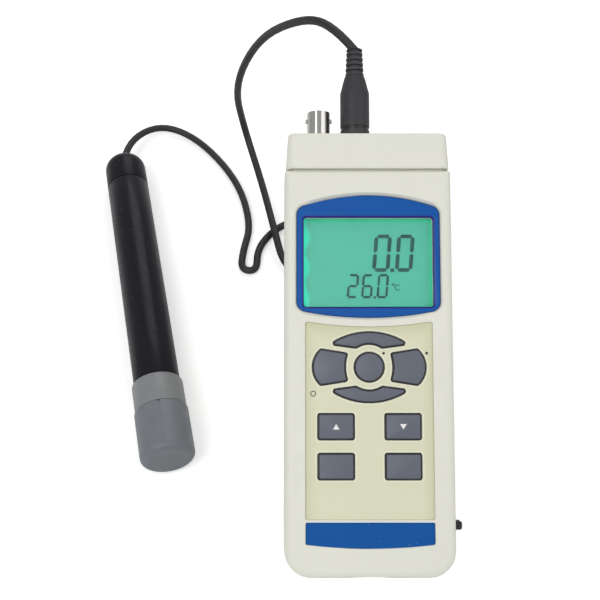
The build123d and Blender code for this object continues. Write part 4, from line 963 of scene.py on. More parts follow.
def turned_about(chains: Sequence[Sequence[Point]], side: int) -> List[List[Point]]:
    """Keep chains as they are for side 1, or run them backwards.

    Args:
        chains: Chains that run counter-clockwise for side 1.
        side: 1 or -1.

    Returns:
        The chains, counter-clockwise on that side.
    """
    if side > 0:
        return [list(chain) for chain in chains]
    return [list(reversed(chain)) for chain in reversed(chains)]


def is_end(face: bmesh.types.BMFace) -> bool:
    """Whether a face closes the end of a turned or stepped form."""
    return len(face.verts) > END_FACE_CORNERS


class Bench:
    """The modelling tools that every sub-assembly uses. Sizes are in millimetres."""

    @staticmethod
    def clear() -> None:
        """Leave edit mode and deselect everything."""
        if bpy.context.view_layer.objects.active and bpy.context.mode != "OBJECT":
            bpy.ops.object.mode_set(mode="OBJECT")
        bpy.ops.object.select_all(action="DESELECT")

    @classmethod
    def hold(cls, piece: Piece) -> None:
        """Make one piece selected and active.

        Args:
            piece: The piece.
        """
        cls.clear()
        piece.select_set(True)
        bpy.context.view_layer.objects.active = piece

    @staticmethod
    def edit(action: str = "SELECT") -> None:
        """Enter edit mode on faces, with all or nothing selected.

        Args:
            action: SELECT for every face, DESELECT for none.
        """
        bpy.ops.object.mode_set(mode="EDIT")
        bpy.ops.mesh.select_mode(type="FACE")
        bpy.ops.mesh.select_all(action=action)

    @staticmethod
    def close() -> None:
        """Turn every face outwards and leave edit mode."""
        bpy.ops.mesh.select_all(action="SELECT")
        bpy.ops.mesh.normals_make_consistent(inside=False)
        bpy.ops.object.mode_set(mode="OBJECT")

    @staticmethod
    def raise_picked(rise: float) -> None:
        """Extrude the selected faces upwards."""
        bpy.ops.mesh.extrude_region_move(TRANSFORM_OT_translate={"value": (0.0, 0.0, rise * MM)})

    @staticmethod
    def pick(piece: Piece, test: Callable[[bmesh.types.BMFace], bool]) -> None:
        """Select the faces that pass a test.

        Args:
            piece: The piece, in edit mode.
            test: What a face has to pass.
        """
        mesh = bmesh.from_edit_mesh(piece.data)
        for face in mesh.faces:
            if test(face):
                face.select_set(True)
        mesh.select_flush_mode()
        bmesh.update_edit_mesh(piece.data)

    @classmethod
    def place(cls, piece: Piece, matrix: Matrix) -> None:
        """Move a finished piece to its place in the frame, into its mesh.

        Args:
            piece: The piece, modelled about its own zero.
            matrix: Where it goes.
        """
        cls.hold(piece)
        piece.matrix_world = matrix
        bpy.ops.object.transform_apply(location=True, rotation=True, scale=True)

    @classmethod
    def smooth(cls, piece: Piece, degrees: float = SMOOTH_ANGLE) -> None:
        """Shade smooth except across edges sharper than an angle."""
        cls.hold(piece)
        bpy.ops.object.shade_smooth_by_angle(angle=math.radians(degrees))

    @classmethod
    def disc(cls, name: str, sides: int, radius: float, height: float = 0.0) -> Piece:
        """Add a filled disc, which is the start of every turned or stepped form.

        Args:
            name: Name of the piece.
            sides: Corners of its rim.
            radius: Its radius.
            height: Height that it lies at.

        Returns:
            The piece.
        """
        cls.clear()
        bpy.ops.mesh.primitive_circle_add(
            vertices=sides, radius=radius * MM, fill_type="NGON", location=(0.0, 0.0, height * MM)
        )
        piece = bpy.context.active_object
        piece.name = name
        bpy.ops.object.transform_apply(location=True, rotation=True, scale=True)
        return piece

    @classmethod
    def turned(cls, name: str, stations: Sequence[Point], sides: int = 96) -> Piece:
        """Turn a closed round form: a disc is extruded and resized from station to station.

        Args:
            name: Name of the piece.
            stations: Radius and height of each ring, from one end to the other.
            sides: Sides of the round.

        Returns:
            The piece, with its axis along its own Z.
        """
        piece = cls.disc(name, sides, *stations[0])
        cls.edit()
        for (before, low), (after, high) in zip(stations, stations[1:]):
            cls.raise_picked(high - low)
            if abs(after - before) > SAME_PLACE:
                factor = after / before
                bpy.ops.transform.resize(
                    value=(factor, factor, 1.0), center_override=(0.0, 0.0, high * MM)
                )
        bpy.ops.mesh.select_all(action="SELECT")
        bpy.ops.mesh.remove_doubles(threshold=POLE_WELD)
        cls.close()
        return piece

    @classmethod
    def plate(cls, name: str, outline: Sequence[Point], low: float, high: float) -> Piece:
        """Make a flat closed plate from an outline, between two heights."""
        return cls.stepped(name, outline, [(0.0, low), (0.0, high)])

    @classmethod
    def stepped(cls, name: str, outline: Sequence[Point], levels: Sequence[Point]) -> Piece:
        """Raise a flat outline level by level, drawn in a little more at each, as on a moulded key.

        Args:
            name: Name of the piece.
            outline: Points, counter-clockwise, in the meter's face plane.
            levels: Draw-in and height of each level, lowest first.

        Returns:
            The piece.
        """
        piece = cls.disc(name, len(outline), 1.0)
        inset, height = levels[0]
        ring = drawn_in(outline, inset)
        for vertex, (x, y) in zip(piece.data.vertices, ring):
            vertex.co = Vector((x, y, height)) * MM
        cls.hold(piece)
        cls.edit()
        for inset, level in levels[1:]:
            cls.raise_picked(level - height)
            following = drawn_in(outline, inset)
            cls._settle(piece, ring, following)
            ring, height = following, level
        cls.close()
        return piece

    @staticmethod
    def _settle(piece: Piece, before: Sequence[Point], after: Sequence[Point]) -> None:
        """Move the selected ring of vertices from one outline onto the next.

        Args:
            piece: The piece, in edit mode.
            before: Outline that the ring is on.
            after: Outline that it moves onto.
        """
        mesh = bmesh.from_edit_mesh(piece.data)
        for vertex in mesh.verts:
            if vertex.select:
                x, y = nearest((vertex.co.x / MM, vertex.co.y / MM), before, after)
                vertex.co.x, vertex.co.y = x * MM, y * MM
        bmesh.update_edit_mesh(piece.data)

    @classmethod
    def _bridge_ends(cls, piece: Piece) -> None:
        """Open the two end faces and join their edges into one wall.

        Args:
            piece: The piece, in edit mode.
        """
        cls.pick(piece, is_end)
        bpy.ops.mesh.bridge_edge_loops()
        cls.close()

    @classmethod
    def bored(cls, piece: Piece, wall: float) -> None:
        """Bore a turned form through between its two ends.

        Args:
            piece: The form, with its axis along its own Z.
            wall: Width left at each end.
        """
        heights = [vertex.co.z for vertex in piece.data.vertices]
        cls.hold(piece)
        cls.edit("DESELECT")
        for level in (min(heights), max(heights)):
            bpy.ops.mesh.select_all(action="DESELECT")
            cls.pick(
                piece, lambda face: is_end(face) and abs(face.calc_center_median().z - level) < SAME_PLACE
            )
            bpy.ops.mesh.inset(thickness=wall * MM)
        bpy.ops.mesh.select_all(action="DESELECT")
        cls._bridge_ends(piece)

    @classmethod
    def surround(
        cls, name: str, outline: Sequence[Point], inner: float, outer: float, low: float, high: float
    ) -> Piece:
        """Make a flat band that runs round outside an outline.

        Args:
            name: Name of the piece.
            outline: Points, counter-clockwise.
            inner: Distance from the outline to the band.
            outer: Distance from the outline to the band's outer edge.
            low: Height of its underside.
            high: Height of its top.

        Returns:
            The piece.
        """
        band = cls.stepped(name, outline, [(-outer, low), (-outer, high), (-inner, high), (-inner, low)])
        cls.hold(band)
        cls.edit("DESELECT")
        cls._bridge_ends(band)
        return band

    @classmethod
    def smooth_copy(cls, node: Piece, name: str) -> Piece:
        """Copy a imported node, merge its loose triangles and shade its curves smooth.

        Args:
            node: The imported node's object.
            name: Name of the copy.

        Returns:
            The copy.
        """
        piece = bpy.data.objects.new(name, node.data.copy())
        bpy.context.scene.collection.objects.link(piece)
        cls.hold(piece)
        bpy.ops.object.mode_set(mode="EDIT")
        bpy.ops.mesh.select_all(action="SELECT")
        bpy.ops.mesh.remove_doubles(threshold=WELD_GAP)
        bpy.ops.mesh.dissolve_limited(angle_limit=FLAT_ANGLE)
        bpy.ops.object.mode_set(mode="OBJECT")
        cls.smooth(piece)
        weighted = piece.modifiers.new("weighted", "WEIGHTED_NORMAL")
        weighted.keep_sharp = True
        bpy.ops.object.modifier_apply(modifier=weighted.name)
        return piece


@dataclass
class Assembly:
    """What every sub-assembly needs to dress its pieces."""

    frame: dict
    palette: Palette

    def node(self, name: str) -> Piece:
        """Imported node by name."""
        return self.frame["nodes"][name]

    def wear(self, piece: Piece, *materials: str) -> None:
        """Give a piece its materials, in slot order.

        Args:
            piece: The piece.
            *materials: Names of the finishes.
        """
        piece.data.materials.clear()
        for name in materials:
            piece.data.materials.append(self.palette[name])

    def keep(self, material: str, *nodes: str) -> None:
        """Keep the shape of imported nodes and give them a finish.

        Args:
            material: Name of the finish.
            *nodes: Names of the nodes.
        """
        for node in nodes:
            self.wear(self.node(node), material)
            LOG.info("kept %s in %s", node, material)

    def stand_for(self, piece: Piece, body: str, slot: str, *nodes: str) -> None:
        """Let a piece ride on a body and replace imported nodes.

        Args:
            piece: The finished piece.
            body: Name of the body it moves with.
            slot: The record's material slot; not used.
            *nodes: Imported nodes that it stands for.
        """
        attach(piece, body)
        if nodes:
            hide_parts(*nodes)
        LOG.info("made %s on %s", piece.name, body)

    def refine(self, node: str, material: str, body: Body, slot: str) -> Piece:
        """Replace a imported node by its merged, smoothly shaded copy.

        Args:
            node: Name of the node.
            material: Name of the finish.
            body: Body that it moves with.
            slot: The record's material slot.

        Returns:
            The new piece.
        """
        piece = Bench.smooth_copy(self.node(node), node + "_form")
        self.wear(piece, material)
        self.stand_for(piece, body.value, slot, node)
        return piece


@dataclass
class Housing(Assembly):
    """Case halves, end cap, battery cover, stand and port cover."""

    def build(self) -> None:
        """Dress every housing piece."""
        for node in ("front_case", "rear_case", "top_end_cap", "battery_cover"):
            self.refine(node, "housing_ivory", Body.METER, "housing_ivory")
        self.refine("tilt_stand", "housing_ivory", Body.STAND, "housing_ivory")
        self.refine("stand_foot_pad", "soft_black", Body.STAND, "soft_black")
        self.refine("port_cover", "soft_black", Body.PORT_FLAP, "soft_black")
        self.keep("plated_steel", "case_screws", "battery_cover_screws", "board_screws")


@dataclass(frozen=True)
class DigitRow:
    """A row of digits with one decimal point: their size and where each starts, in millimetres."""

    name: str
    width: float
    height: float
    bold: float
    foot: float
    digits: Tuple[Tuple[Digit, float], ...]
    point: Point


@dataclass(frozen=True)
class RingStroke:
    """A ring on the display, or a part of one from one angle to another, in millimetres and degrees."""

    name: str
    centre: Point
    radius: float
    bold: float
    sweep: Span = (0.0, 360.0)


@dataclass
class DisplayWindow(Assembly):
    """Bezel, window, lit display and its digits, in millimetres."""

    glass_top: float = 39.72
    ink: float = 0.06
    slant: float = 0.085
    stroke_gap: float = 0.16
    stroke_point: float = 0.8
    rows: Tuple[DigitRow, ...] = (
        DigitRow("large", 7.0, 15.2, 1.5, 120.6, ((Digit.ZERO, 1.7), (Digit.ZERO, 10.9)), (9.1, 120.5)),
        DigitRow(
            "small", 4.4, 9.8, 0.9, 109.9, ((Digit.TWO, -8.6), (Digit.SIX, -2.8), (Digit.ZERO, 3.4)),
            (2.3, 109.8),
        ),
    )
    rings: Tuple[RingStroke, ...] = (
        RingStroke("degree_ring", (10.3, 115.4), 0.62, 0.28),
        RingStroke("celsius_letter", (12.1, 114.2), 1.25, 0.36, (50.0, 310.0)),
    )
    opening_half_width: float = 26.8
    opening_low: float = 105.2
    opening_high: float = 143.0
    flat_share: float = 0.95

    def build(self) -> None:
        """Dress the window and add the digits."""
        bezel = self.refine("display_bezel", "window_frame_blue", Body.METER, "bezel_blue")
        # The sloped inner edge and walls get a darker navy, painted as shade of the recess.
        bezel.data.materials.append(self.palette["window_bevel_navy"])
        self._paint_bevel_shade(bezel)
        self.keep("window_clear", "display_lens")
        self.keep("display_lit", "lcd_glass")
        self.keep("backlight_mint", "lcd_backlight")
        self.keep("holder_white", "lcd_holder")
        self.keep("mat_silicone", "lcd_zebra_strips")
        self._digits()

    def _paint_bevel_shade(self, bezel: Piece) -> None:
        """Give the sloped inner edge and the opening's walls a darker navy, which is painted shade of the
        window's recess.

        Args:
            bezel: The bezel's piece.
        """
        outwards = METER.to_3x3() @ Vector((0.0, 0.0, 1.0))
        for polygon in bezel.data.polygons:
            centre = METER.inverted() @ polygon.center / MM
            beside = abs(centre.x) < self.opening_half_width
            inside = beside and self.opening_low < centre.y < self.opening_high
            if inside and polygon.normal.dot(outwards) < self.flat_share:
                polygon.material_index = 1

    def _stroke(self, name: str, points: Sequence[Point]) -> Piece:
        """One stroke of the display as a thin plate."""
        return Bench.plate(name, points, self.glass_top, self.glass_top + self.ink)

    def _lean(self, points: Sequence[Point], origin: Point) -> List[Point]:
        """Points of a digit, slanted to the right with height."""
        return [(origin[0] + x + y * self.slant, origin[1] + y) for x, y in points]

    def _glyph(self, row: DigitRow, digit: Digit, start: float) -> List[Piece]:
        """Build a seven-stroke digit.

        Args:
            row: The row that it stands in.
            digit: Which digit it is.
            start: Where its left side is in the meter's face.

        Returns:
            The strokes.
        """
        gap, half = row.bold * self.stroke_gap, row.bold / 2
        cut = half * self.stroke_point
        left, right = half, row.width - half
        foot, middle, top = half, row.height / 2, row.height - half
        bars = {
            "a": ((left + gap, top), (right - gap, top)),
            "g": ((left + gap, middle), (right - gap, middle)),
            "d": ((left + gap, foot), (right - gap, foot)),
            "f": ((left, middle + gap), (left, top - gap)),
            "b": ((right, middle + gap), (right, top - gap)),
            "e": ((left, foot + gap), (left, middle - gap)),
            "c": ((right, foot + gap), (right, middle - gap)),
        }
        made = []
        for letter in digit.value:
            first, last = (Vector(point) for point in bars[letter])
            run = (last - first).normalized()
            side = Vector((run.y, -run.x)) * half
            run *= cut
            shape = [
                first, first + run + side, last - run + side, last, last - run - side, first + run - side,
            ]
            name = f"{row.name}_{digit.name.lower()}_{letter}"
            made.append(self._stroke(name, self._lean(shape, (start, row.foot))))
        return made

    def _decimal_point(self, row: DigitRow) -> Piece:
        """Make the decimal point of a row.

        Args:
            row: The row.

        Returns:
            The stroke.
        """
        size = row.bold
        corners = [(0.0, 0.0), (size, 0.0), (size, size), (0.0, size)]
        return self._stroke(f"{row.name}_point", self._lean(corners, row.point))

    def _ring(self, ring: RingStroke) -> Piece:
        """Make a flat ring, or part of one, as a thin plate.

        Args:
            ring: Its place and size.

        Returns:
            The stroke.
        """
        start, end = (math.radians(angle) for angle in ring.sweep)
        if end - start > FULL_TURN - SAME_PLACE:
            end -= RING_SLIT
        angles = [start + (end - start) * i / RING_STEPS for i in range(RING_STEPS + 1)]
        outer = [around(ring.centre, ring.radius, angle) for angle in angles]
        inner = [around(ring.centre, ring.radius - ring.bold, angle) for angle in reversed(angles)]
        return self._stroke(ring.name, outer + inner)

    def _digits(self) -> None:
        """Large reading, small temperature reading and its degree sign."""
        strokes: List[Piece] = []
        for row in self.rows:
            for digit, left in row.digits:
                strokes += self._glyph(row, digit, left)
            strokes.append(self._decimal_point(row))
        strokes += [self._ring(ring) for ring in self.rings]
        Bench.clear()
        for stroke in strokes:
            stroke.select_set(True)
        bpy.context.view_layer.objects.active = strokes[0]
        bpy.ops.object.join()
        digits = bpy.context.active_object
        digits.name = "display_digits"
        self.wear(digits, "digit_green")
        Bench.place(digits, METER)
        self.stand_for(digits, Body.METER.value, "display_green")


@dataclass
class Keypad(Assembly):
    """Faceplate, blank strip, keys with dark rims, and what is printed beside them, in millimetres."""

    centre_y: float = 82.1
    seat: float = 40.2
    rim_top: float = 44.8
    rim_profile: Tuple[Point, ...] = (
        (0.0, -0.12), (0.05, -0.04), (0.14, 0.0), (0.44, 0.0), (0.52, 0.16), (0.58, 0.28), (0.68, 0.36),
    )
    crown_inset: float = 0.82
    crown: float = 0.4
    corner: float = 0.95
    outer_spans: int = 60
    bulge_spans: int = 36
    hollow_spans: int = 24
    round_step: int = 5
    centre_r: float = 5.9
    bow_tip: Point = (15.8, 8.9)
    bow_height: float = 13.95
    bow_hollow: float = 9.05
    bow_notch_x: float = 5.1
    side_outer: Point = (19.1, 7.2)
    side_bulge: float = 22.4
    side_inner: Point = (8.4, 5.5)
    side_hollow: float = 9.4
    square_half: Point = (7.1, 5.1)
    column_x: float = 13.15
    arrow_row_y: float = 58.8
    lower_row_y: float = 43.35
    arrow_half_width: float = 1.3
    arrow_half_height: float = 1.05
    arrow_sunk: float = 0.02
    ink: float = 0.03
    edge_inner: float = 0.36
    edge_outer: float = 1.0
    edge_low: float = 44.2
    edge_high: float = 44.36
    dot_r: float = 0.55
    dot_low: float = 44.28
    dot_high: float = 44.34
    dot_y: float = 87.6
    dot_centre_x: float = 5.7
    dot_right_x: float = 22.7
    dot_step: int = 20
    ring_r: float = 1.15
    ring_bold: float = 0.32
    ring_sides: int = 32
    ring_place: Place = (-22.1, 71.7, 44.29)

    def build(self) -> None:
        """Dress the plates and model every key."""
        self.refine("keypad_faceplate", "faceplate_print", Body.METER, "faceplate_cream")
        self.refine("blank_strip", "strip_blue_print", Body.METER, "strip_blue")
        self.keep("mat_silicone", "keypad_mat")
        for name, outline in self._outlines().items():
            self._key(name, outline)
            self._pale_edge(name, outline)
        self._arrow("arrow_up_print", -self.column_x, Direction.UP, "button_arrow_up")
        self._arrow("arrow_down_print", self.column_x, Direction.DOWN, "button_arrow_down")
        self._small_ring()
        self._dot("dot_print_centre", self.dot_centre_x)
        self._dot("dot_print_right", self.dot_right_x)

    def _bow(self, side: int) -> List[Point]:
        """Crescent key above (1) or below (-1) the round key.

        Args:
            side: 1 or -1.

        Returns:
            The outline, counter-clockwise.
        """
        centre, tip_x, notch_x = self.centre_y, self.bow_tip[0], self.bow_notch_x
        tip = centre + side * self.bow_tip[1]
        notch = centre + side * math.sqrt(self.bow_hollow ** 2 - notch_x ** 2)
        crest, hollow = (0.0, centre + side * self.bow_height), (0.0, centre + side * self.bow_hollow)
        chains = [
            arc((tip_x, tip), crest, (-tip_x, tip), self.outer_spans),
            line((-tip_x, tip), (-notch_x, notch)),
            arc((-notch_x, notch), hollow, (notch_x, notch), self.hollow_spans),
            line((notch_x, notch), (tip_x, tip)),
        ]
        return rounded(turned_about(chains, side), self.corner)

    def _side(self, side: int) -> List[Point]:
        """Barrel-shaped key right (1) or left (-1) of the round key.

        Args:
            side: 1 or -1.

        Returns:
            The outline, counter-clockwise.
        """
        centre = self.centre_y
        outer_x, outer_half = self.side_outer
        inner_x, inner_half = self.side_inner
        outer_low, outer_top = (side * outer_x, centre - outer_half), (side * outer_x, centre + outer_half)
        inner_low, inner_top = (side * inner_x, centre - inner_half), (side * inner_x, centre + inner_half)
        chains = [
            arc(outer_low, (side * self.side_bulge, centre), outer_top, self.bulge_spans),
            line(outer_top, inner_top),
            arc(inner_top, (side * self.side_hollow, centre), inner_low, self.hollow_spans),
            line(inner_low, outer_low),
        ]
        return rounded(turned_about(chains, side), self.corner)

    def _square(self, x: float, y: float) -> List[Point]:
        """Rectangular key.

        Args:
            x: Its middle across the meter.
            y: Its middle along the meter.

        Returns:
            The outline, counter-clockwise.
        """
        wide, high = self.square_half
        corners = [(x - wide, y - high), (x + wide, y - high), (x + wide, y + high), (x - wide, y + high)]
        return rounded([line(corners[i], corners[(i + 1) % 4]) for i in range(4)], self.corner)

    def _outlines(self) -> Dict[str, List[Point]]:
        """Outline of each key.

        Returns:
            The outlines, by the key's name.
        """
        column = self.column_x
        return {
            "upper_bow": self._bow(1),
            "lower_bow": self._bow(-1),
            "left": self._side(-1),
            "right": self._side(1),
            "centre": circle((0.0, self.centre_y), self.centre_r, self.round_step),
            "arrow_up": self._square(-column, self.arrow_row_y),
            "arrow_down": self._square(column, self.arrow_row_y),
            "lower_left": self._square(-column, self.lower_row_y),
            "lower_right": self._square(column, self.lower_row_y),
        }

    def _key(self, name: str, outline: Sequence[Point]) -> None:
        """Model one key: black skirt and rim, slate crown.

        Args:
            name: Name of the key.
            outline: Its outline.
        """
        top = self.rim_top
        rim = [(inset, top + rise) for inset, rise in self.rim_profile]
        levels = [(0.0, self.seat), *rim, (self.crown_inset, top + self.crown)]
        piece = Bench.stepped(f"key_{name}_form", outline, levels)
        self.wear(piece, "key_rim_black", "key_slate")
        for polygon in piece.data.polygons:
            polygon.material_index = 1 if polygon.center.z > (top + self.crown / 4) * MM else 0
        Bench.smooth(piece, CROWN_ANGLE)
        Bench.place(piece, METER)
        self.stand_for(piece, f"button_{name}", "key_grey", f"key_{name}")

    def _printed(self, piece: Piece, material: str, body: str, slot: str, place: Matrix = METER) -> None:
        """Dress and place something printed on the keypad.

        Args:
            piece: The piece.
            material: Name of the finish.
            body: Name of the body it moves with.
            slot: The record's material slot.
            place: Where it goes.
        """
        self.wear(piece, material)
        Bench.place(piece, place)
        self.stand_for(piece, body, slot)

    def _pale_edge(self, name: str, outline: Sequence[Point]) -> None:
        """Raised pale edge of the faceplate round a key's hole.

        Args:
            name: Name of the key.
            outline: The key's outline.
        """
        band = Bench.surround(
            f"edge_{name}", outline, self.edge_inner, self.edge_outer, self.edge_low, self.edge_high
        )
        Bench.smooth(band)
        self._printed(band, "print_halo", Body.METER.value, "faceplate_cream")

    def _dot(self, name: str, x: float) -> None:
        """Small printed dot.

        Args:
            name: Name of the piece.
            x: Its middle across the meter.
        """
        outline = circle((x, self.dot_y), self.dot_r, self.dot_step)
        dot = Bench.plate(name, outline, self.dot_low, self.dot_high)
        self._printed(dot, "print_black", Body.METER.value, "faceplate_cream")

    def _arrow(self, name: str, x: float, way: Direction, body: str) -> None:
        """White printed arrow on a key.

        Args:
            name: Name of the piece.
            x: The key's middle across the meter.
            way: Where it points.
            body: Name of the key's body.
        """
        y, wide = self.arrow_row_y, self.arrow_half_width
        rise = self.arrow_half_height * way.value
        top = self.rim_top + self.crown
        points = [(x - wide, y - rise), (x + wide, y - rise), (x, y + rise)]
        if way is Direction.DOWN:
            points.reverse()
        arrow = Bench.plate(name, points, top - self.arrow_sunk, top + self.ink)
        self._printed(arrow, "print_white", body, "key_grey")

    def _small_ring(self) -> None:
        """Small printed ring beside the left key."""
        ring = Bench.disc("ring_print", self.ring_sides, self.ring_r)
        Bench.edit()
        bpy.ops.mesh.inset(thickness=self.ring_bold * MM)
        bpy.ops.mesh.delete(type="FACE")
        bpy.ops.mesh.select_all(action="SELECT")
        Bench.raise_picked(self.ink)
        Bench.close()
        place = METER @ Matrix.Translation(Vector(self.ring_place) * MM)
        self._printed(ring, "print_black", Body.METER.value, "faceplate_cream", place)


@dataclass
class TopSockets(Assembly):
    """Coaxial, round and temperature sockets in the end cap."""

    def build(self) -> None:
        """Dress the sockets."""
        for node, material, slot in (
            ("bnc_socket", "polished_nickel", "bright_metal"),
            ("bnc_nut", "polished_nickel", "bright_metal"),
            ("bnc_insulator", "insulator_white", "holder_white"),
            ("probe_socket", "socket_black", "socket_black"),
            ("temperature_socket", "socket_black", "socket_black"),
        ):
            self.refine(node, material, Body.METER, slot)


@dataclass
class PlugAndLead(Assembly):
    """Plug, ribbed strain relief, and the whole lead with its coil and tie, in millimetres."""

    socket_x: float = -4.0
    socket_z: float = 25.0
    shell: Tuple[Point, ...] = (
        (5.6, 179.5), (6.05, 179.6), (6.2, 179.9), (6.2, 182.45), (6.1, 182.6), (5.85, 182.65),
        (5.85, 183.95), (6.1, 184.0), (6.2, 184.15), (6.2, 190.0), (6.2, 198.6), (6.12, 199.3),
        (5.9, 200.0), (5.0, 203.6), (4.4, 205.8), (4.25, 206.15), (4.0, 206.3),
    )
    band_low: float = 182.5
    band_high: float = 184.0
    relief_sides: int = 72
    ribs: int = 5
    ribs_start: float = 206.7
    ribs_end: float = 218.0
    rib_r: float = 3.95
    rib_taper: float = 0.45
    groove_r: float = 3.05
    groove_taper: float = 0.25
    rib_flat: float = 0.42
    rib_fall: Point = (0.18, 0.52)
    groove_span: Span = (0.58, 0.88)
    rib_climb: Point = (0.25, 0.95)
    relief_foot: Tuple[Point, ...] = ((3.6, 206.3), (3.95, 206.45))
    relief_tip: Tuple[Point, ...] = ((3.5, 218.0), (3.35, 218.3), (2.9, 218.4))
    relief_end: float = 218.4
    lead_d: float = 3.8
    length: float = 2.0
    probe_exit_y: float = 190.0
    probe_route: Tuple[Place, ...] = (
        (-125.5, 243.1, 9.0), (-108.8, 261.0, 5.0), (-86.1, 252.0, 1.9), (-62.4, 219.4, 1.9),
        (-53.7, 187.0, 1.9), (-57.6, 168.0, 1.9), (-58.2, 155.8, 1.9), (-49.8, 155.0, 1.9),
        (-50.0, 169.0, 1.9), (-43.5, 180.6, 1.9), (-33.5, 188.4, 2.3),
    )
    plug_route: Tuple[Place, ...] = (
        (-11.5, 157.5, 3.8), (-25.0, 151.0, 2.2), (-36.0, 158.0, 3.6), (-40.9, 178.8, 6.7),
        (-48.4, 212.0, 8.0), (-58.7, 242.9, 20.0), (-61.7, 232.5, 60.0), (-47.1, 221.5, 100.0),
        (-25.7, 201.2, 127.0), (-13.0, 187.5, 133.5),
    )
    coil_centre: Point = (2.0, 182.0)
    coil_radius: float = 24.2
    coil_start: float = 150.0
    turns: float = 9.7
    points_per_turn: int = 14
    lanes: Tuple[Point, ...] = (
        (-3.6, 2.0), (0.1, 2.0), (3.8, 2.0), (1.9, 5.4), (-1.8, 5.4), (-3.6, 8.7), (0.1, 8.7), (3.8, 8.7),
        (1.9, 5.6), (3.9, 5.2), (3.9, 5.2),
    )
    lane_change: float = 0.6
    curve_order: int = 3
    curve_steps: int = 6
    round_steps: int = 6

    def build(self) -> None:
        """Model the plug and lay the lead."""
        place = METER @ Matrix.Translation(Vector((self.socket_x, 0.0, self.socket_z)) * MM) @ LATHE_TO_Y
        plug = Bench.turned("plug_shell", self.shell)
        self.wear(plug, "plug_charcoal", "plug_band_dark")
        for polygon in plug.data.polygons:
            polygon.material_index = 1 if self.band_low < polygon.center.z / MM < self.band_high else 0
        self._fit(plug, place, "plug_body")
        relief = Bench.turned("strain_relief_form", self._relief_stations(), self.relief_sides)
        self.wear(relief, "plug_charcoal")
        self._fit(relief, place, "plug_strain_relief")
        self.keep("contact_gold", "plug_pins")
        tie = self.refine("coil_tie", "tie_black", Body.METER, "cord_charcoal")
        self._lead([plug, relief, self.node("plug_pins"), tie])

    def _fit(self, piece: Piece, place: Matrix, node: str) -> None:
        """Smooth and place one piece of the plug.

        Args:
            piece: The piece.
            place: Where it goes.
            node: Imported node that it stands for.
        """
        Bench.smooth(piece)
        Bench.place(piece, place)
        self.stand_for(piece, Body.METER.value, "plug_charcoal", node)

    def _relief_stations(self) -> List[Point]:
        """Radius and height of each ring of the tapered, ribbed strain relief.

        Returns:
            The rings, from the plug outwards.
        """
        stations = list(self.relief_foot)
        pitch = (self.ribs_end - self.ribs_start) / self.ribs
        for index in range(self.ribs):
            low = self.ribs_start + pitch * index
            share = index / (self.ribs - 1)
            rib = self.rib_r - self.rib_taper * share
            groove = self.groove_r - self.groove_taper * share
            stations += [
                (rib, low),
                (rib, low + pitch * self.rib_flat),
                (rib - self.rib_fall[0], low + pitch * self.rib_fall[1]),
                (groove, low + pitch * self.groove_span[0]),
                (groove, low + pitch * self.groove_span[1]),
                (rib - self.rib_climb[0], low + pitch * self.rib_climb[1]),
            ]
        return [*stations, *self.relief_tip]

    def _coil_points(self) -> List[Vector]:
        """Control points of the wound turns, from the probe's side round to the plug's side.

        Returns:
            The points, in order.
        """
        points: List[Vector] = []
        for step in range(int(self.turns * self.points_per_turn) + 1):
            turn, place = divmod(step, self.points_per_turn)
            (off, height), (next_off, next_height) = self.lanes[turn], self.lanes[turn + 1]
            ease = max(0.0, (place / self.points_per_turn - self.lane_change) / (1.0 - self.lane_change))
            radius = self.coil_radius + off + (next_off - off) * ease
            angle = math.radians(self.coil_start - 360.0 * step / self.points_per_turn)
            x, y = around(self.coil_centre, radius, angle)
            points.append(Vector((x, y, height + (next_height - height) * ease)))
        return points

    def _lead(self, on_it: List[Piece]) -> None:
        """Lay the lead from the probe, through its fold and coil, up to the plug.

        Args:
            on_it: Pieces that hold on to the lead; not used.
        """
        probe_exit = (PROBE @ Vector((0.0, self.probe_exit_y * MM, 0.0)) - HOME) / MM
        plug_end = (METER @ (Vector((self.socket_x, self.relief_end, self.socket_z)) * MM) - HOME) / MM
        probe_side = [probe_exit, *map(Vector, self.probe_route)]
        plug_side = [*map(Vector, self.plug_route), plug_end]
        route = probe_side + self._coil_points() + plug_side
        curve = bpy.data.curves.new("probe_lead", "CURVE")
        curve.dimensions = "3D"
        spline = curve.splines.new("NURBS")
        spline.points.add(len(route) - 1)
        for control, point in zip(spline.points, route):
            control.co = (*(HOME + point * MM), 1.0)
        spline.order_u = self.curve_order
        spline.use_endpoint_u = True
        spline.resolution_u = self.curve_steps
        curve.bevel_depth = self.lead_d / 2 * MM
        curve.bevel_resolution = self.round_steps
        curve.use_fill_caps = True
        lead = bpy.data.objects.new("probe_lead", curve)
        bpy.context.scene.collection.objects.link(lead)
        curve.materials.append(self.palette["lead_jacket"])
        self.stand_for(
            lead, Body.METER.value, "cord_charcoal", "lead_from_plug", "lead_coil", "lead_to_probe"
        )


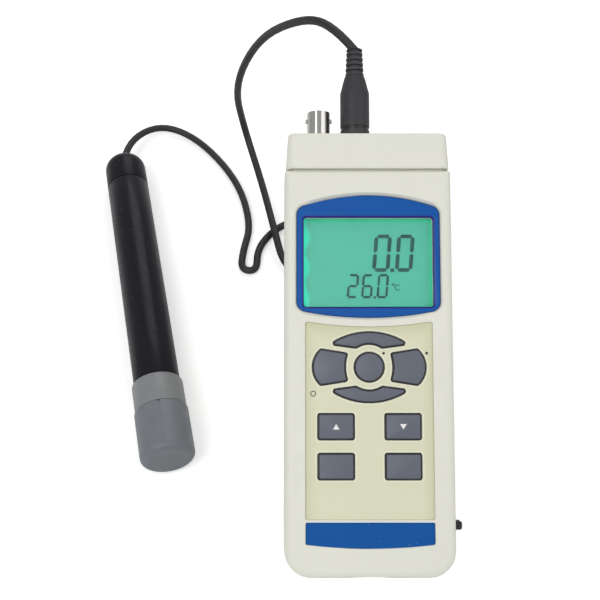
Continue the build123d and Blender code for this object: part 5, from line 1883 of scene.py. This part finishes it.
@dataclass
class OxygenProbe(Assembly):
    """Dome, handle tube, collar, protective cap and the sensor inside, in millimetres."""

    sides: int = 128
    handle: Tuple[Point, ...] = (
        (10.4, 40.3), (10.72, 40.42), (10.8, 40.7), (10.8, 60.0), (10.8, 100.0), (10.8, 140.0), (10.8, 167.6),
        (10.72, 167.88), (10.4, 168.0),
    )
    handle_wall: float = 1.6
    collar: Tuple[Point, ...] = (
        (11.3, 25.3), (11.8, 25.4), (11.9, 25.7), (11.9, 32.0), (11.9, 39.3), (11.75, 39.75), (11.3, 40.0),
    )
    collar_wall: float = 3.0
    dome_foot: Tuple[Point, ...] = ((10.3, 168.3), (10.7, 168.4), (10.8, 168.7), (10.8, 181.0))
    dome_centre: Point = (2.2, 181.4)
    dome_r: float = 8.6
    dome_steps: int = 18

    def build(self) -> None:
        """Model the tube, dome and collar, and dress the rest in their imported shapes."""
        handle = Bench.turned("probe_handle_form", self.handle, self.sides)
        Bench.bored(handle, self.handle_wall)
        self._fit(handle, "probe_black", "probe_black", "probe_handle")
        dome = Bench.turned("probe_dome_form", self._dome_stations(), self.sides)
        self._fit(dome, "probe_black", "probe_black", "probe_end_cap")
        collar = Bench.turned("probe_collar_form", self.collar, self.sides)
        Bench.bored(collar, self.collar_wall)
        self._fit(collar, "probe_collar_pale", "probe_grey", "probe_collar")
        self.refine("probe_cap", "probe_cap_grey", Body.PROTECTIVE_CAP, "probe_grey")
        self.keep("sensor_grey", "probe_sensor_body")
        self.keep("holder_white", "probe_membrane_cap")
        self.keep("soft_black", "probe_o_rings")
        self.keep("plated_steel", "probe_temperature_sensor")

    def _dome_stations(self) -> List[Point]:
        """Radius and height of each ring of the domed end."""
        quarter = [math.radians(90.0 * step / self.dome_steps) for step in range(self.dome_steps + 1)]
        return [*self.dome_foot, *(around(self.dome_centre, self.dome_r, angle) for angle in quarter)]

    def _fit(self, piece: Piece, material: str, slot: str, node: str) -> None:
        """Dress and place one turned form along the probe.

        Args:
            piece: The piece.
            material: Name of the finish.
            slot: The record's material slot.
            node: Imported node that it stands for.
        """
        self.wear(piece, material)
        Bench.smooth(piece)
        Bench.place(piece, PROBE @ LATHE_TO_Y)
        self.stand_for(piece, Body.METER.value, slot, node)


@dataclass
class Electronics(Assembly):
    """Board, chips, jacks, card and power parts inside the housing."""

    def build(self) -> None:
        """Dress the inner pieces."""
        self.keep("board_mask", "main_board")
        self.keep("chip_moulding", "circuit_chips", "buzzer", "power_jack", "serial_jack", "sd_card")
        self.keep("plated_steel", "sd_card_socket", "battery_contacts")
        self.keep("cell_wrap", "batteries")


@dataclass(frozen=True)
class Softbox:
    """A square soft lamp that faces the object, in metres and watts."""

    name: str
    where: Place
    size: float
    power: float
    aim_at: Place = (0.0, 0.0, 0.05)

    def hang(self) -> None:
        """Add the lamp."""
        data = bpy.data.lights.new(self.name, "AREA")
        data.shape = "SQUARE"
        data.size = self.size
        data.energy = self.power
        lamp = bpy.data.objects.new(self.name, data)
        lamp.location = self.where
        aim = Vector(self.aim_at) - Vector(self.where)
        lamp.rotation_euler = aim.to_track_quat("-Z", "Y").to_euler()
        bpy.context.scene.collection.objects.link(lamp)


@dataclass
class Studio:
    """Floor, world, lamps and the camera at the picture's viewing angle.

    The camera's place and lens are in millimetres, the floor is in metres.
    """

    camera_at: Place = (-27.3, -152.2, 400.966)
    look_down: float = 54.13
    lens: float = 57.8
    sensor: float = 36.0
    nearest_seen: float = 0.01
    lamps: Tuple[Softbox, ...] = (
        Softbox("key_softbox", (-0.45, -0.55, 1.05), 0.7, 5.6),
        Softbox("fill_softbox", (0.75, -0.25, 0.8), 0.8, 2.2),
        Softbox("back_softbox", (0.1, 0.95, 0.9), 0.7, 2.2),
    )
    room_light: float = 0.45
    table_glow: float = 0.42
    table_size: float = 6.0
    table_drop: float = -0.0002
    table_dull: float = 0.9
    table_gloss: float = 0.1
    table_clouds: float = 3.0
    table_greys: Span = (0.9, 0.93)

    def build(self) -> None:
        """Set up the whole studio."""
        self._camera()
        self._world()
        self._floor()
        for lamp in self.lamps:
            lamp.hang()
        bpy.context.scene.view_settings.view_transform = "Standard"

    def _camera(self) -> None:
        """Camera matched to the photograph."""
        data = bpy.data.cameras.new("viewpoint")
        data.lens = self.lens
        data.sensor_width = self.sensor
        data.clip_start = self.nearest_seen
        camera = bpy.data.objects.new("viewpoint", data)
        camera.location = HOME + Vector(self.camera_at) * MM
        camera.rotation_euler = (math.radians(90.0 - self.look_down), 0.0, 0.0)
        bpy.context.scene.collection.objects.link(camera)
        bpy.context.scene.camera = camera

    def _world(self) -> None:
        """Soft white surroundings, pure white to the camera and through glass."""
        world = bpy.data.worlds.new("soft_room")
        bpy.context.scene.world = world
        world.use_nodes = True
        world.node_tree.nodes.clear()
        sheet = NodeSheet(world.node_tree)
        ray = sheet.add("ShaderNodeLightPath")
        seen = sheet.maths("MAXIMUM", ray.outputs["Is Camera Ray"], ray.outputs["Is Transmission Ray"])
        extra = sheet.maths("MULTIPLY", seen, 1.0 - self.room_light)
        strength = sheet.maths("ADD", self.room_light, extra)
        shine = sheet.add("ShaderNodeBackground", {"Color": WHITE, "Strength": strength})
        sheet.add("ShaderNodeOutputWorld", {"Surface": shine.outputs[0]})

    def _floor(self) -> None:
        """Pale table top."""
        Bench.clear()
        bpy.ops.mesh.primitive_plane_add(size=self.table_size, location=(0.0, 0.0, self.table_drop))
        floor = bpy.context.active_object
        floor.name = "table_top"
        material, sheet, shader = new_material("table_white", {
            "Roughness": self.table_dull, "Specular IOR Level": self.table_gloss, "Emission Color": WHITE,
        })
        cloud = sheet.noise(sheet.coords(), self.table_clouds)
        base = sheet.blend(cloud, *(shade(WHITE, grey) for grey in self.table_greys))
        sheet.feed(base, shader.inputs["Base Color"])
        ray = sheet.add("ShaderNodeLightPath")
        glow = sheet.maths("MULTIPLY", ray.outputs["Is Camera Ray"], self.table_glow)
        sheet.feed(glow, shader.inputs["Emission Strength"])
        floor.data.materials.append(material)


def main() -> None:
    """Build the scene, class by class."""
    logging.basicConfig(level=logging.INFO, format="%(message)s")
    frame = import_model()
    Studio().build()
    palette = Palette(EffectShelf())
    for kind in (PlugAndLead, Housing, DisplayWindow, Keypad, TopSockets, OxygenProbe, Electronics):
        kind(frame, palette).build()
        LOG.info("finished %s", kind.__name__)


if __name__ == "__main__":
    main()
